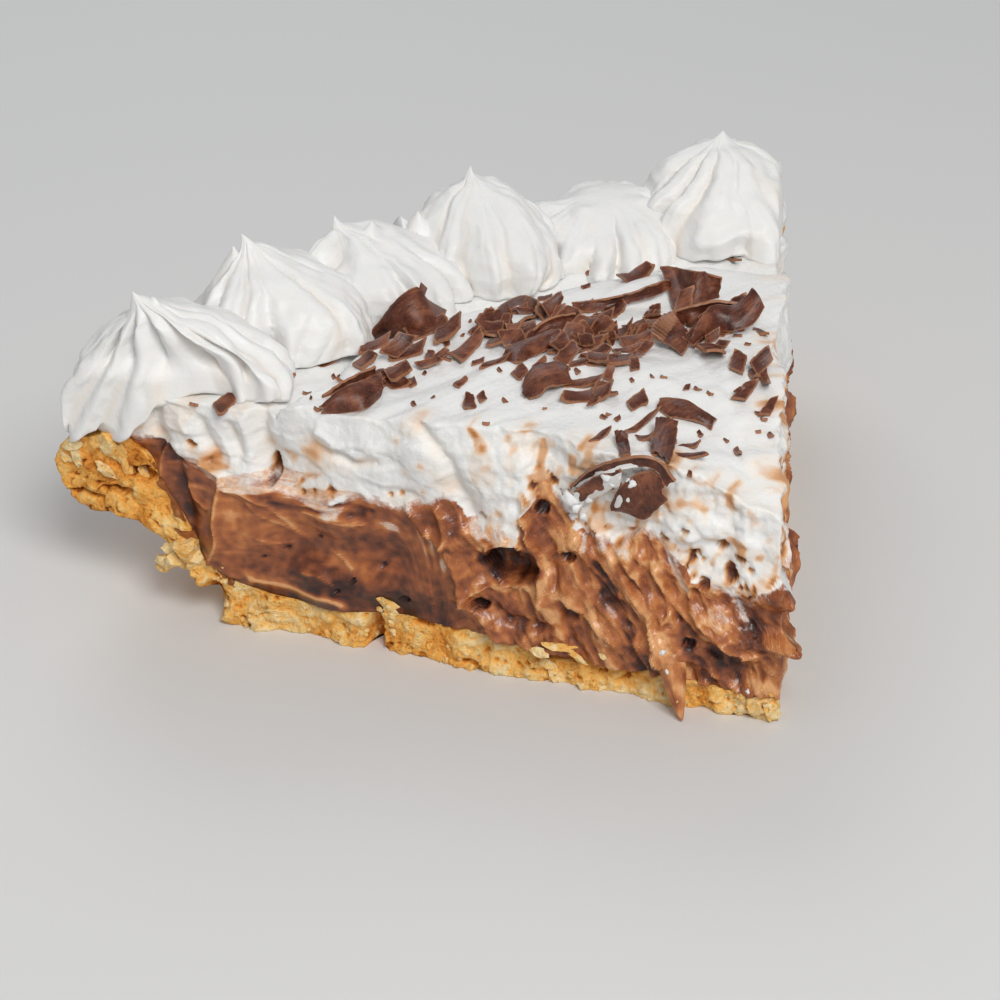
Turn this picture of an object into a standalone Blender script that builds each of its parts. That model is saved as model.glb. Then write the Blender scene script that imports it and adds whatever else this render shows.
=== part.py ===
# A cut slice of chocolate cream pie: a baked crust, a chocolate filling, a thick layer of
# whipped cream strewn with shaved chocolate, and a border of piped cream rosettes.
# Metres, +Z up. The slice points to -Y and stands on the flat underside of its crust.
# Places on the slice are given as a radius from its point and an angle from one cut face.

import math
import random

import bmesh
import bpy
import numpy as np
from mathutils import Matrix, Vector, noise
from mathutils.bvhtree import BVHTree

SLICE_ANGLE = math.radians(74.0)
POINT_Y = -0.070              # the point of the slice; the origin is 70 mm behind it
RIM_RADIUS = 0.1262           # outermost part of the crust
RIM_UNDERSIDE = 0.0180
RIM_TOP = 0.0337
BASE_RADIUS = 0.0955          # the flat underside ends here
BASE_THICKNESS = 0.0066
CREAM_TOP = 0.0455
LEDGE_RADIUS = 0.0775         # the piped border stands from here outwards
LEDGE_TOP = 0.0420
BORDER_RADIUS = 0.1212        # outer edge of the cream
GAP = 0.0003                  # between neighbouring pieces

CRUST_RINGS = 24
FILLING_RINGS = 20
FILLING_LAST_STATION = 8.55   # where the filling ends on the crust's inside profile
BORDER_RINGS = 4              # the cream's rings beyond the filling
CUT_REACH = 0.008             # how deep the unevenness of a cut face runs into the slice
CRUST_GRAIN = (0.0011, 0.0045)           # height and size of the cut faces' unevenness
FILLING_GRAIN = (0.0020, 0.0080)
CREAM_GRAIN = (0.0016, 0.0080)
CRUST_CRAGS = [(0.0011, 0.011), (0.0006, 0.005)]   # height and size of the lumps on the outside
CREAM_WAVES = [(0.0016, 0.022), (0.0008, 0.009)]   # and of the waves on top of the cream
# Lips of filling at the point, as height, half height and reach.
LIPS = [(0.0133, 0.0026, 0.0030), (0.0216, 0.0024, 0.0026)]
FAR_RISE = 0.009              # how much higher the filling stands on the far side of the point
POINT_ROUND = 0.006           # cut faces calm down this close to the point
SEED = 7

# Section of the crust, from the point outwards, as pairs of radius and height.
CRUST_OUTSIDE = [
    (0.0, 0.0), (0.028, 0.0), (0.056, 0.0), (0.084, 0.0), (BASE_RADIUS, 0.0),
    (0.0993, 0.0038), (0.1047, 0.0092), (0.1108, 0.0161), (0.1165, RIM_UNDERSIDE),
    (0.1225, RIM_UNDERSIDE), (RIM_RADIUS, 0.0220),
]
CRUST_INSIDE = [
    (0.0, 0.0044), (0.028, 0.0056), (0.056, 0.0074), (0.082, BASE_THICKNESS), (0.0910, 0.0076),
    (0.0965, 0.0104), (0.1015, 0.0160), (0.1055, 0.0232), (0.1090, 0.0302),
    (0.1145, RIM_TOP), (0.1242, 0.0312),
]

# The border between filling and cream, and the cream's upper side, as radius and height.
FILLING_TOP = [
    (0.0, 0.0148), (0.004, 0.0160), (0.013, 0.0222), (0.023, 0.0280), (0.034, 0.0275),
    (0.043, 0.0258), (0.055, 0.0284), (0.072, 0.0277), (0.087, 0.0290), (0.099, 0.0308),
    (0.1068, 0.0318),
]
CREAM_UNDER_BORDER = [(0.1068, 0.0318), (0.1098, 0.0331), (0.1140, 0.0346), (0.1180, 0.0348),
                      (0.1208, 0.0344)]
CREAM_UPPER = [
    (0.0, 0.0360), (0.004, 0.0385), (0.013, 0.0425), (0.029, CREAM_TOP), (0.042, CREAM_TOP),
    (0.054, 0.0449), (0.068, 0.0443), (0.0745, 0.0436), (LEDGE_RADIUS, LEDGE_TOP),
    (BORDER_RADIUS, LEDGE_TOP),
]

# Hollows (above zero) and bulges (below zero) of the cut faces: radius from the point, height,
# half width, half height and depth, in millimetres.
CRUST_RELIEF = [(103.5, 10.0, 3.0, 3.5, -1.8), (8.0, 3.0, 5.0, 4.0, -0.8),
                (53.0, 2.0, 7.0, 3.0, -0.9), (84.0, 4.0, 6.0, 5.0, 1.0)]
FILLING_RELIEF = [(103.5, 22.0, 4.5, 7.0, 2.0), (96.0, 18.0, 2.6, 9.0, -1.0),
                  (44.0, 20.5, 6.0, 4.0, 5.4), (53.5, 20.0, 3.4, 6.0, -1.8),
                  (37.0, 15.0, 3.5, 5.0, -1.8), (30.0, 12.0, 4.0, 5.0, -1.6),
                  (17.0, 10.5, 4.0, 3.6, -2.6), (11.0, 17.0, 4.0, 4.0, 0.8),
                  (72.0, 18.0, 12.0, 6.0, 0.6), (60.0, 13.0, 4.0, 3.5, -1.2),
                  (24.0, 21.0, 3.5, 4.0, -1.4), (85.0, 12.0, 6.0, 3.0, -0.8),
                  (5.0, 9.0, 3.0, 3.0, 1.2)]
CREAM_RELIEF = [(86.5, 34.0, 3.0, 5.0, 2.4), (60.0, 38.0, 9.0, 7.0, -0.8),
                (38.0, 38.0, 4.0, 8.0, 1.2), (27.0, 40.0, 6.0, 5.0, -0.9),
                (9.0, 30.0, 2.5, 3.0, 1.5)]
FAR_RELIEF = [(20.0, 18.0, 5.0, 5.0, -1.2), (48.0, 22.0, 8.0, 5.0, 1.4),
              (75.0, 16.0, 6.0, 5.0, -1.0), (90.0, 24.0, 5.0, 6.0, 1.2),
              (62.0, 38.0, 6.0, 6.0, -1.0), (34.0, 36.0, 5.0, 6.0, 1.2)]

# Places where the crust has crumbled away at the near cut: radius, height, and half sizes
# along the cut, into the slice and upwards.
CRUMBLED = [(0.0695, 0.0030, 0.0017, 0.0050, 0.0050), (0.0375, 0.0062, 0.0042, 0.0040, 0.0017),
            (0.0996, 0.0036, 0.0036, 0.0060, 0.0036), (0.1120, 0.0262, 0.0040, 0.0030, 0.0010)]
CRUMBLED_ROUGHNESS = 0.35

# Piped rosettes: angle, height above the ledge, radius of the middle, radius of the peak,
# sideways lean of the peak, bluntness, share of the usual width along the rim, and how far the
# rim's side draws in on the way up.
ROSETTES = [
    (2.5, 0.0182, 0.1050, 0.1093, -0.0032, 0.0, 1.00, 0.25),
    (16.3, 0.0178, 0.1032, 0.1055, -0.0024, 0.0, 1.00, 0.45),
    (29.2, 0.0150, 0.1020, 0.1025, -0.0063, 0.0, 1.00, 0.45),
    (40.9, 0.0165, 0.0995, 0.1021, 0.0014, 0.0, 0.80, 0.30),
    (55.5, 0.0080, 0.0998, 0.0998, 0.0, 1.0, 1.08, 0.25),
    (67.5, 0.0165, 0.1008, 0.1027, 0.0010, 0.0, 1.00, 0.20),
]
ROSETTE_LONG = 0.0200         # half its size along the radius
ROSETTE_OUTER = 0.84          # how much shorter it is on the rim's side
ROSETTE_WIDE = 0.0144         # half its size along the rim
ROSETTE_RIDGES = 12
ROSETTE_RIDGE_DEPTH = 0.10    # as a share of the rosette's half size
ROSETTE_SWIRL = 0.35          # how far the ridges turn on the way up, in ridges
# Half size of a pointed rosette from its foot to its peak, as shares.
ROSETTE_SWELL = [(0.0, 0.97), (0.143, 1.0), (0.286, 0.98), (0.43, 0.93), (0.571, 0.82),
                 (0.714, 0.60), (0.857, 0.25), (1.0, 0.0)]

# Large chocolate curls, each a piece of its own: radius and angle of its middle, length, width,
# heading of its length from +X, radius it is bent to, and how far its far end is raised.
CURLS = {
    "curl_crinkled": (0.0685, 33.0, 0.0120, 0.0062, 5.0, 0.0160, 6.0),
    "curl_behind_middle": (0.0620, 36.5, 0.0110, 0.0048, 14.0, 0.0090, 16.0),
    "curl_middle": (0.0585, 29.0, 0.0108, 0.0046, 3.0, 0.0220, 10.0),
    "curl_bent_plate": (0.0470, 22.0, 0.0095, 0.0062, 16.0, 0.0052, 0.0),
    "curl_pair_lower": (0.0725, 4.8, 0.0125, 0.0050, 16.0, 0.0160, 10.0),
    "curl_pair_upper": (0.0745, 9.0, 0.0105, 0.0036, 24.0, 0.0200, 12.0),
    "curl_against_border": (0.0778, 21.6, 0.0088, 0.0150, 96.0, 0.0048, 18.0),
    "curl_long_stick": (0.0665, 48.5, 0.0168, 0.0030, -4.0, 0.0300, 2.0),
    "curl_raised_plate": (0.0655, 60.5, 0.0088, 0.0088, 52.0, 0.0200, 38.0),
    "curl_behind_largest": (0.0565, 61.0, 0.0115, 0.0050, -6.0, 0.0080, 12.0),
    "curl_largest": (0.0500, 63.0, 0.0158, 0.0066, 16.0, 0.0085, 14.0),
    "curl_ribbed": (0.0470, 50.5, 0.0070, 0.0068, 66.0, 0.0140, 34.0),
    "curl_near_point": (0.0238, 35.4, 0.0104, 0.0046, -72.0, 0.0200, 0.0),
}
CURL_THICKNESS = 0.0009

# Smaller flakes, fused to the cream: radius, angle, length, width, heading, lean.
FLAKES_PLACED = [
    (0.0648, 21.0, 0.0112, 0.0044, 24.0, 6.0), (0.0735, 27.5, 0.0072, 0.0030, -8.0, 5.0),
    (0.0722, 15.8, 0.0064, 0.0036, -16.0, 8.0), (0.0665, 17.0, 0.0060, 0.0016, 15.0, 6.0),
    (0.0672, 8.4, 0.0050, 0.0030, 40.0, 8.0), (0.0555, 39.8, 0.0082, 0.0042, -8.0, 14.0),
    (0.0560, 46.0, 0.0048, 0.0034, -4.0, 30.0), (0.0505, 43.5, 0.0072, 0.0050, -30.0, 12.0),
    (0.0508, 36.2, 0.0064, 0.0034, -33.0, 10.0), (0.0420, 26.8, 0.0062, 0.0030, -32.0, 8.0),
    (0.0387, 20.6, 0.0084, 0.0032, -53.0, 6.0), (0.0402, 57.6, 0.0072, 0.0044, -112.0, 26.0),
    (0.0725, 53.5, 0.0064, 0.0034, 2.0, 10.0), (0.0358, 62.4, 0.0046, 0.0026, 43.0, 20.0),
    (0.0264, 61.0, 0.0056, 0.0026, 27.0, 10.0), (0.0318, 65.8, 0.0050, 0.0020, -114.0, 12.0),
    (0.0205, 13.6, 0.0080, 0.0044, -125.0, -44.0), (0.0250, 5.6, 0.0052, 0.0036, -107.0, -30.0),
    (0.0262, 18.0, 0.0066, 0.0012, 14.0, 14.0), (0.0315, 27.6, 0.0042, 0.0026, 11.0, 4.0),
    (0.0540, 7.6, 0.0038, 0.0026, -5.0, 10.0), (0.0580, 20.0, 0.0050, 0.0022, -30.0, 5.0),
    (0.0735, 66.0, 0.0085, 0.0012, -102.0, 10.0), (0.0160, 16.5, 0.0050, 0.0016, 30.0, 10.0),
    (0.0470, 31.0, 0.0044, 0.0024, 31.0, 8.0),
]
FLAKES_SCATTERED = 16
FLAKE_ZONE = (0.016, 0.077, 4.0, 70.0)   # least and greatest radius, least and greatest angle
FLAKE_LENGTH = (0.0030, 0.0052)          # least and greatest length of a scattered flake
FLAKE_THICKNESS = 0.0008
FLAKE_SINK = 0.0006

# Curls caught in the cream of the near cut, fused to it: radius, height, length, width, radius
# it is bent to, turn about the cut, and slant.
CUT_CURLS = [(0.0270, 0.0400, 0.0150, 0.0075, 0.0100, 0.0, 60.0)]

# A drip of filling that hangs down over the crust near the point.
DRIP_RADIUS = 0.0158
DRIP_TOP = 0.0150
DRIP_BOTTOM = 0.0006
DRIP_WIDTH = 0.0058
DRIP_OUT = 0.0032             # how far its lower end stands in front of the cut
DRIP_SHAPE = [(0.0, 0.0), (0.12, 0.18), (0.35, 0.42), (0.60, 0.78), (0.80, 1.0), (0.93, 0.75),
              (1.0, 0.0)]


# A smooth line through points, read at t from 0 to the number of the last point.
def along(points, t):
    last = len(points) - 1
    i = min(int(t), last - 1)
    p0, p1, p2, p3 = (Vector(points[min(max(k, 0), last)]) for k in (i - 1, i, i + 1, i + 2))
    f = t - i
    bend = (2.0 * p0 - 5.0 * p1 + 4.0 * p2 - p3) * f * f + (3.0 * p1 - p0 - 3.0 * p2 + p3) * f ** 3
    return 0.5 * (2.0 * p1 + (p2 - p0) * f + bend)


# The height of a profile at a radius.
def height_at(points, radius):
    radii, heights = zip(*points)
    return float(np.interp(radius, radii, heights))


# A soft bump of 1 at zero that fades over the width.
def bump(distance, width):
    return math.exp(-((distance / width) ** 2))


def rough(x, y, z, size, seed):
    return noise.noise(Vector((x / size + 0.37, y / size + 0.61, z / size + 1.37 * seed)))


# The point of the slice is at POINT_Y; an angle of 0 is the cut face on the -X side.
def world(radius, angle, height):
    bearing = angle - SLICE_ANGLE / 2.0
    return Vector((radius * math.sin(bearing), POINT_Y + radius * math.cos(bearing), height))


# How far a cut face lies inside its plane at this radius and height, in metres.
def face_relief(relief, radius, height, grain, seed):
    depth = sum(d * bump(radius * 1000.0 - s, ws) * bump(height * 1000.0 - z, wz)
                for s, z, ws, wz, d in relief)
    grain_height, grain_size = grain
    return 0.001 * depth + grain_height * rough(radius, 0.0, height, grain_size, seed)


# The angle of a point after the unevenness of both cut faces is added to it.
def cut_angle(radius, angle, height, near, far, grain, seed):
    steady = max(radius, POINT_ROUND)
    fade = min(1.0, radius / POINT_ROUND)
    near_in = face_relief(near, radius, height, grain, seed)
    far_in = face_relief(far, radius, height, grain, seed + 20)
    near_share = math.exp(-radius * math.sin(angle) / CUT_REACH)
    far_share = math.exp(-radius * math.sin(SLICE_ANGLE - angle) / CUT_REACH)
    return angle + fade * (near_in * near_share - far_in * far_share) / steady


# A closed solid over the slice's outline. The grid's corner is the point of the slice and its
# two far sides are the rim, so rings of cells run round the point and every cell is alike in
# size. place turns ring share, side to side share and level, each up to 1, into a position.
def slice_solid(name, rings, rows, place):
    bm = bmesh.new()
    bmesh.ops.create_grid(bm, x_segments=rings, y_segments=rings, size=0.5)
    bmesh.ops.translate(bm, verts=bm.verts, vec=(0.5, 0.5, 0.0))
    raised = bmesh.ops.extrude_face_region(bm, geom=bm.faces[:])
    upper = [g for g in raised["geom"] if isinstance(g, bmesh.types.BMVert)]
    bmesh.ops.translate(bm, verts=upper, vec=(0.0, 0.0, 1.0))
    uprights = [e for e in bm.edges if abs(e.verts[0].co.z - e.verts[1].co.z) > 0.5]
    bmesh.ops.subdivide_edges(bm, edges=uprights, cuts=rows - 1, use_grid_fill=True)
    for v in bm.verts:
        p, q, level = v.co
        ring = max(p, q)
        across = 0.5 + 0.5 * (q - p) / ring if ring > 0.0 else 0.5
        v.co = place(ring, across, level)
    bmesh.ops.triangulate(bm, faces=bm.faces[:], quad_method="FIXED")
    bmesh.ops.recalc_face_normals(bm, faces=bm.faces[:])
    return finish_mesh(bm, name)


def finish_mesh(bm, name):
    mesh = bpy.data.meshes.new(name)
    bm.to_mesh(mesh)
    bm.free()
    return bpy.data.objects.new(name, mesh)


def finish_part(obj, material, collection, smooth=True):
    collection.objects.link(obj)
    obj.data.materials.append(material)
    if smooth:
        obj.data.shade_smooth()
        obj.data.set_sharp_from_angle(angle=math.radians(40.0))
    return obj


def material(name, colour, roughness):
    mat = bpy.data.materials.new(name)
    mat.use_nodes = True
    shader = mat.node_tree.nodes["Principled BSDF"]
    shader.inputs["Base Color"].default_value = (*colour, 1.0)
    shader.inputs["Roughness"].default_value = roughness
    shader.inputs["Metallic"].default_value = 0.0
    return mat


# Crust: flat base, sloping wall and thick rim, with a crumbly cut and a rough outside. A
# station is a place along the section, counted in points of the outside and inside profile.
def crust_point(ring, across, level):
    station = float(np.interp(ring, (0.0, 0.58, 1.0), (0.0, 3.0, len(CRUST_OUTSIDE) - 1.0)))
    outside, inside = along(CRUST_OUTSIDE, station), along(CRUST_INSIDE, station)
    radius, height = outside.lerp(inside, level)
    rounded_rim = math.sin(math.pi * level) * 0.0016 * bump(1.0 - ring, 0.01)
    angle = across * SLICE_ANGLE
    spot = world(radius, angle, height)
    craggy = sum(tall * rough(spot.x, spot.y, spot.z, size, 3 + 2 * number)
                 for number, (tall, size) in enumerate(CRUST_CRAGS))
    outer = float(np.interp(station, (4.2, 6.0), (0.0, 1.0))) * (1.0 - level)
    lip = float(np.interp(station, (9.2, 10.0), (0.0, 1.0))) * level
    radius += rounded_rim + craggy * max(outer, lip)
    height = max(height + 0.7 * craggy * outer - abs(craggy) * lip, 0.0)
    angle = cut_angle(radius, angle, height, CRUST_RELIEF, FAR_RELIEF[:1], CRUST_GRAIN, 11)
    return world(radius, angle, height)


# Rough lumps that cut away crumbled places.
def make_crumbled(collection):
    for number, (radius, height, wide, deep, tall) in enumerate(CRUMBLED):
        bm = bmesh.new()
        bmesh.ops.create_icosphere(bm, subdivisions=2, radius=1.0)
        for v in bm.verts:
            v.co *= 1.0 + CRUMBLED_ROUGHNESS * noise.noise(v.co * 1.3 + Vector((0.0, 0.0, 5.0 * number)))
            v.co = (v.co.x * deep, v.co.y * wide, v.co.z * tall)
        place = Matrix.Translation(world(radius, 0.0, height)) @ Matrix.Rotation(SLICE_ANGLE / 2.0, 4, "Z")
        bmesh.ops.transform(bm, matrix=place, verts=bm.verts)
        lump = finish_mesh(bm, f"crumbled_{number + 1}")
        lump.hide_render = True
        lump.display_type = "WIRE"
        collection.objects.link(lump)


# The crust's inner side, moved in by the gap, which the filling lies against.
def against_crust(station):
    here = along(CRUST_INSIDE, station)
    ahead, behind = along(CRUST_INSIDE, station + 0.02), along(CRUST_INSIDE, max(station - 0.02, 0.0))
    run = (ahead - behind).normalized()
    return here + GAP * Vector((-run.y, run.x))


# Height of the border between filling and cream: lower towards the near cut at the point.
def filling_top(spot):
    radius = math.hypot(spot.x, spot.y - POINT_Y)
    tilt = float(np.interp(spot.x, (-0.007, 0.007), (0.0, 1.0)))
    return height_at(FILLING_TOP, radius) + FAR_RISE * tilt * bump(radius, 0.016)


# Half the gap between filling and cream, wider where they are uneven at the point.
def half_gap(spot):
    return 0.5 * GAP * (1.0 + 2.0 * bump(math.hypot(spot.x, spot.y - POINT_Y), 0.014))


def ring_radius(ring):
    return ring * FILLING_TOP[-1][0]


# The filling reaches a little past the point in two lips.
def lip_reach(height, radius):
    reach = sum(out * bump(height - middle, half) for middle, half, out in LIPS)
    return reach * bump(radius, 0.009)


# Filling: it lies against the crust's inner side up to just under the rim.
def filling_point(ring, across, level):
    station = float(np.interp(ring, (0.0, 0.62, 1.0), (0.0, 2.95, FILLING_LAST_STATION)))
    under = against_crust(station)
    radius = under.x + (ring_radius(ring) - under.x) * level
    angle = across * SLICE_ANGLE
    top = filling_top(world(ring_radius(ring), angle, 0.0))
    height = under.y + (top - under.y) * level
    angle = cut_angle(radius, angle, height, FILLING_RELIEF, FAR_RELIEF, FILLING_GRAIN, 31)
    spot = world(radius, angle, height)
    spot.y -= lip_reach(height, radius)
    if level == 1.0:
        spot.z = filling_top(spot) - half_gap(spot)
    return spot


# The cream's upper side: soft waves on the layer, a flat ledge under the piped border.
def cream_top(spot):
    radius = math.hypot(spot.x, spot.y - POINT_Y)
    waves = sum(tall * rough(spot.x, spot.y, 0.0, size, 41 + 2 * number)
                for number, (tall, size) in enumerate(CREAM_WAVES))
    calm = float(np.interp(radius, (LEDGE_RADIUS - 0.008, LEDGE_RADIUS - 0.002), (1.0, 0.0)))
    return height_at(CREAM_UPPER, radius) + waves * calm


# Cream: a thick layer on the filling, and a thinner ledge under the border beyond it.
def cream_point(ring, across, level):
    rings = FILLING_RINGS + BORDER_RINGS
    number = ring * rings
    angle = across * SLICE_ANGLE
    if number <= FILLING_RINGS + 0.01:
        under_radius = ring_radius(number / FILLING_RINGS)
        under_height = filling_top(world(under_radius, angle, 0.0))
    else:
        under_radius, under_height = along(CREAM_UNDER_BORDER, number - FILLING_RINGS)
    radius = under_radius
    height = under_height + (cream_top(world(radius, angle, 0.0)) - under_height) * level
    if number > rings - 0.5:
        radius += 0.0012 * math.sin(math.pi * level) * (1.0 + rough(angle * 9.0, level, 0.0, 1.0, 51))
    angle = cut_angle(radius, angle, height, CREAM_RELIEF, FAR_RELIEF, CREAM_GRAIN, 61)
    spot = world(radius, angle, height)
    if level == 1.0:
        spot.z = cream_top(spot)
    elif level == 0.0 and number <= FILLING_RINGS + 0.01:
        spot.z = filling_top(spot) + half_gap(spot)
    elif level == 0.0:
        spot.z += GAP
    return spot


# A thin plate of so many cells along its length, bent upwards round an arc, with a skewed and
# tapered outline.
def bent_plate(length, width, bend, thickness, cells, skew, taper):
    bm = bmesh.new()
    bmesh.ops.create_cube(bm, size=1.0)
    lengthwise = [e for e in bm.edges if abs(e.verts[0].co.x - e.verts[1].co.x) > 0.5]
    bmesh.ops.subdivide_edges(bm, edges=lengthwise, cuts=cells - 1, use_grid_fill=True)
    for v in bm.verts:
        x, y, z = v.co
        wide = width * (1.0 + (taper - 1.0) * (x + 0.5))
        angle = (x + skew * y) * length / bend
        reach = bend - z * thickness
        v.co = (reach * math.sin(angle), y * wide, bend - reach * math.cos(angle))
    bmesh.ops.triangulate(bm, faces=bm.faces[:])
    bmesh.ops.recalc_face_normals(bm, faces=bm.faces[:])
    return bm


def turned(heading, lean):
    return Matrix.Rotation(math.radians(heading), 4, "Z") @ Matrix.Rotation(math.radians(-lean), 4, "Y")


# A flake with its lowest corner sunk into the cream.
def make_flake(name, spot, length, width, heading, lean, draw):
    bm = bent_plate(length, width, length * draw.uniform(0.9, 2.5), FLAKE_THICKNESS, 2,
                    draw.uniform(-0.3, 0.3), draw.uniform(0.45, 0.95))
    bmesh.ops.transform(bm, matrix=Matrix.Translation(spot) @ turned(heading, lean), verts=bm.verts)
    lowest = min(v.co.z - cream_top(v.co) for v in bm.verts)
    bmesh.ops.translate(bm, verts=bm.verts, vec=(0.0, 0.0, -lowest - FLAKE_SINK))
    return finish_mesh(bm, name)


# A spot on the cream's upper side, at an angle given in degrees.
def on_cream(radius, degrees):
    spot = world(radius, math.radians(degrees), 0.0)
    spot.z = cream_top(spot)
    return spot


# Scattered flakes keep clear of the curls, which are pieces of their own.
def clear_of_curls(spot, reach):
    for radius, degrees, length, *_ in CURLS.values():
        middle = world(radius, math.radians(degrees), spot.z)
        if (middle - spot).length < length / 2.0 + reach:
            return False
    return True


def make_flakes(collection):
    draw = random.Random(SEED)
    for number, (radius, degrees, length, width, heading, lean) in enumerate(FLAKES_PLACED):
        spot = on_cream(radius, degrees)
        collection.objects.link(make_flake(f"flake_{number}", spot, length, width, heading, lean, draw))
    low, high, first, last = FLAKE_ZONE
    made = 0
    while made < FLAKES_SCATTERED:
        radius, degrees = draw.uniform(low, high), draw.uniform(first, last)
        length = draw.uniform(*FLAKE_LENGTH)
        spot = on_cream(radius, degrees)
        if not clear_of_curls(spot, length):
            continue
        width = length * draw.uniform(0.35, 0.7)
        heading, lean = draw.uniform(0.0, 180.0), draw.uniform(0.0, 9.0)
        name = f"flake_{len(FLAKES_PLACED) + made}"
        collection.objects.link(make_flake(name, spot, length, width, heading, lean, draw))
        made += 1
    for number, (radius, height, length, width, bend, roll, lean) in enumerate(CUT_CURLS):
        bm = bent_plate(length, width, bend, CURL_THICKNESS, 5, 0.15, 0.7)
        upright = (Matrix.Rotation(-SLICE_ANGLE / 2.0, 4, "Z")
                   @ Matrix.Rotation(math.radians(roll), 4, "X")
                   @ Matrix.Rotation(math.radians(-90.0), 4, "Y")
                   @ Matrix.Rotation(math.radians(lean), 4, "Z"))
        place = Matrix.Translation(world(radius, 0.0, height)) @ upright
        bmesh.ops.transform(bm, matrix=place, verts=bm.verts)
        collection.objects.link(finish_mesh(bm, f"cut_curl_{number}"))


# Joins the objects of a collection to an object with one Boolean union, then removes them.
def fuse(obj, pieces):
    joined = obj.modifiers.new("Fused", "BOOLEAN")
    joined.operation = "UNION"
    joined.solver = "EXACT"
    joined.operand_type = "COLLECTION"
    joined.collection = pieces
    result = bpy.data.meshes.new_from_object(obj.evaluated_get(bpy.context.evaluated_depsgraph_get()))
    obj.modifiers.clear()
    obj.data = result
    for piece in list(pieces.objects):
        bpy.data.objects.remove(piece)
    bpy.data.collections.remove(pieces)


# The drip: a long drop that hangs point down in front of the near cut and runs back into it.
def make_drip(collection):
    bm = bmesh.new()
    bmesh.ops.create_uvsphere(bm, u_segments=10, v_segments=10, radius=1.0)
    outward = (Vector((0.0, POINT_Y, 0.0)) - world(1.0, math.pi / 2.0, 0.0)).normalized()
    along_cut = (world(1.0, 0.0, 0.0) - Vector((0.0, POINT_Y, 0.0))).normalized()
    foot = world(DRIP_RADIUS, 0.0, DRIP_BOTTOM)
    for v in bm.verts:
        share = 0.5 + 0.5 * v.co.z
        girth = math.hypot(v.co.x, v.co.y)
        side, front = (v.co.x / girth, v.co.y / girth) if girth > 0.001 else (0.0, 0.0)
        wide = height_at(DRIP_SHAPE, share) * DRIP_WIDTH / 2.0
        out = DRIP_OUT * (1.0 - 1.25 * share ** 1.4)
        v.co = foot + along_cut * side * wide * 1.3 + outward * (out + front * wide * 0.8)
        v.co.z += share * (DRIP_TOP - DRIP_BOTTOM)
    bmesh.ops.recalc_face_normals(bm, faces=bm.faces[:])
    collection.objects.link(finish_mesh(bm, "drip"))


# A rosette of piped cream: a ridged mound whose ridges swirl up to a leaning peak. It is cut
# off flat against its neighbours, and the first and last are cut with the slice.
def make_rosette(number, first, last):
    degrees, tall, middle, peak_radius, lean, blunt, broad, drawn = ROSETTES[number]
    draw = random.Random(SEED + number)
    phase, twist = draw.uniform(0.0, math.tau), draw.uniform(0.5, 1.1)
    bm = bmesh.new()
    bmesh.ops.create_cone(bm, cap_ends=True, segments=3 * ROSETTE_RIDGES,
                          radius1=1.0, radius2=0.0, depth=1.0)
    slopes = [e for e in bm.edges if abs(e.verts[0].co.z - e.verts[1].co.z) > 0.5]
    bmesh.ops.subdivide_edges(bm, edges=slopes, cuts=6, use_grid_fill=True)
    along_radius = (world(1.0, math.radians(degrees), 0.0) - Vector((0.0, POINT_Y, 0.0))).normalized()
    along_rim = Vector((along_radius.y, -along_radius.x, 0.0))
    centre = world(middle, math.radians(degrees), LEDGE_TOP + GAP)
    for v in bm.verts:
        level = v.co.z + 0.5
        turn = math.atan2(v.co.y, v.co.x)
        pointed = height_at(ROSETTE_SWELL, level)
        domed = math.sqrt(max(1.0 - level ** 2.4, 0.0))
        spread = pointed + (domed - pointed) * blunt
        ridge = math.cos(ROSETTE_RIDGES * (turn + twist * ROSETTE_SWIRL * level) + phase)
        spread *= 1.0 + ROSETTE_RIDGE_DEPTH * ridge * min(1.0, 4.0 * (1.0 - level))
        shift = level ** 2.2
        outer = ROSETTE_OUTER * (1.0 - drawn * min(1.0, 2.0 * level))
        long = ROSETTE_LONG * (outer if math.cos(turn) > 0.0 else 1.0)
        v.co = (centre
                + along_radius * (long * spread * math.cos(turn) + (peak_radius - middle) * shift)
                + along_rim * (ROSETTE_WIDE * broad * spread * math.sin(turn) + lean * shift)
                + Vector((0.0, 0.0, tall * level)))
        v.co += along_radius * min(0.0, BORDER_RADIUS + 0.0004 - math.hypot(v.co.x, v.co.y - POINT_Y))
    for bound, side in ((first, -1.0), (last, 1.0)):
        edge = world(1.0, bound, 0.0) - Vector((0.0, POINT_Y, 0.0))
        normal = Vector((edge.y, -edge.x, 0.0)) * side
        cut = bmesh.ops.bisect_plane(bm, geom=bm.verts[:] + bm.edges[:] + bm.faces[:], dist=1e-6,
                                     plane_co=Vector((0.0, POINT_Y, 0.0)) - normal * GAP / 2.0,
                                     plane_no=normal, clear_outer=True)
        bmesh.ops.holes_fill(bm, edges=[g for g in cut["geom_cut"] if isinstance(g, bmesh.types.BMEdge)])
    bmesh.ops.remove_doubles(bm, verts=bm.verts, dist=0.00005)
    bmesh.ops.triangulate(bm, faces=bm.faces[:])
    bmesh.ops.recalc_face_normals(bm, faces=bm.faces[:])
    return finish_mesh(bm, f"rosette_{number + 1}")


# A curl: a plate bent round an arc, raised at one end and laid on what is below it.
def make_curl(name, below):
    radius, degrees, length, width, heading, bend, lean = CURLS[name]
    draw = random.Random(sum(map(ord, name)))
    skew, taper = draw.uniform(-0.25, 0.25), draw.uniform(0.6, 1.0)
    bm = bent_plate(length, width, bend, CURL_THICKNESS, 6, skew, taper)
    place = Matrix.Translation(on_cream(radius, degrees)) @ turned(heading, lean)
    bmesh.ops.transform(bm, matrix=place, verts=bm.verts)
    lay_on(bm, below)
    return finish_mesh(bm, name)


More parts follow.
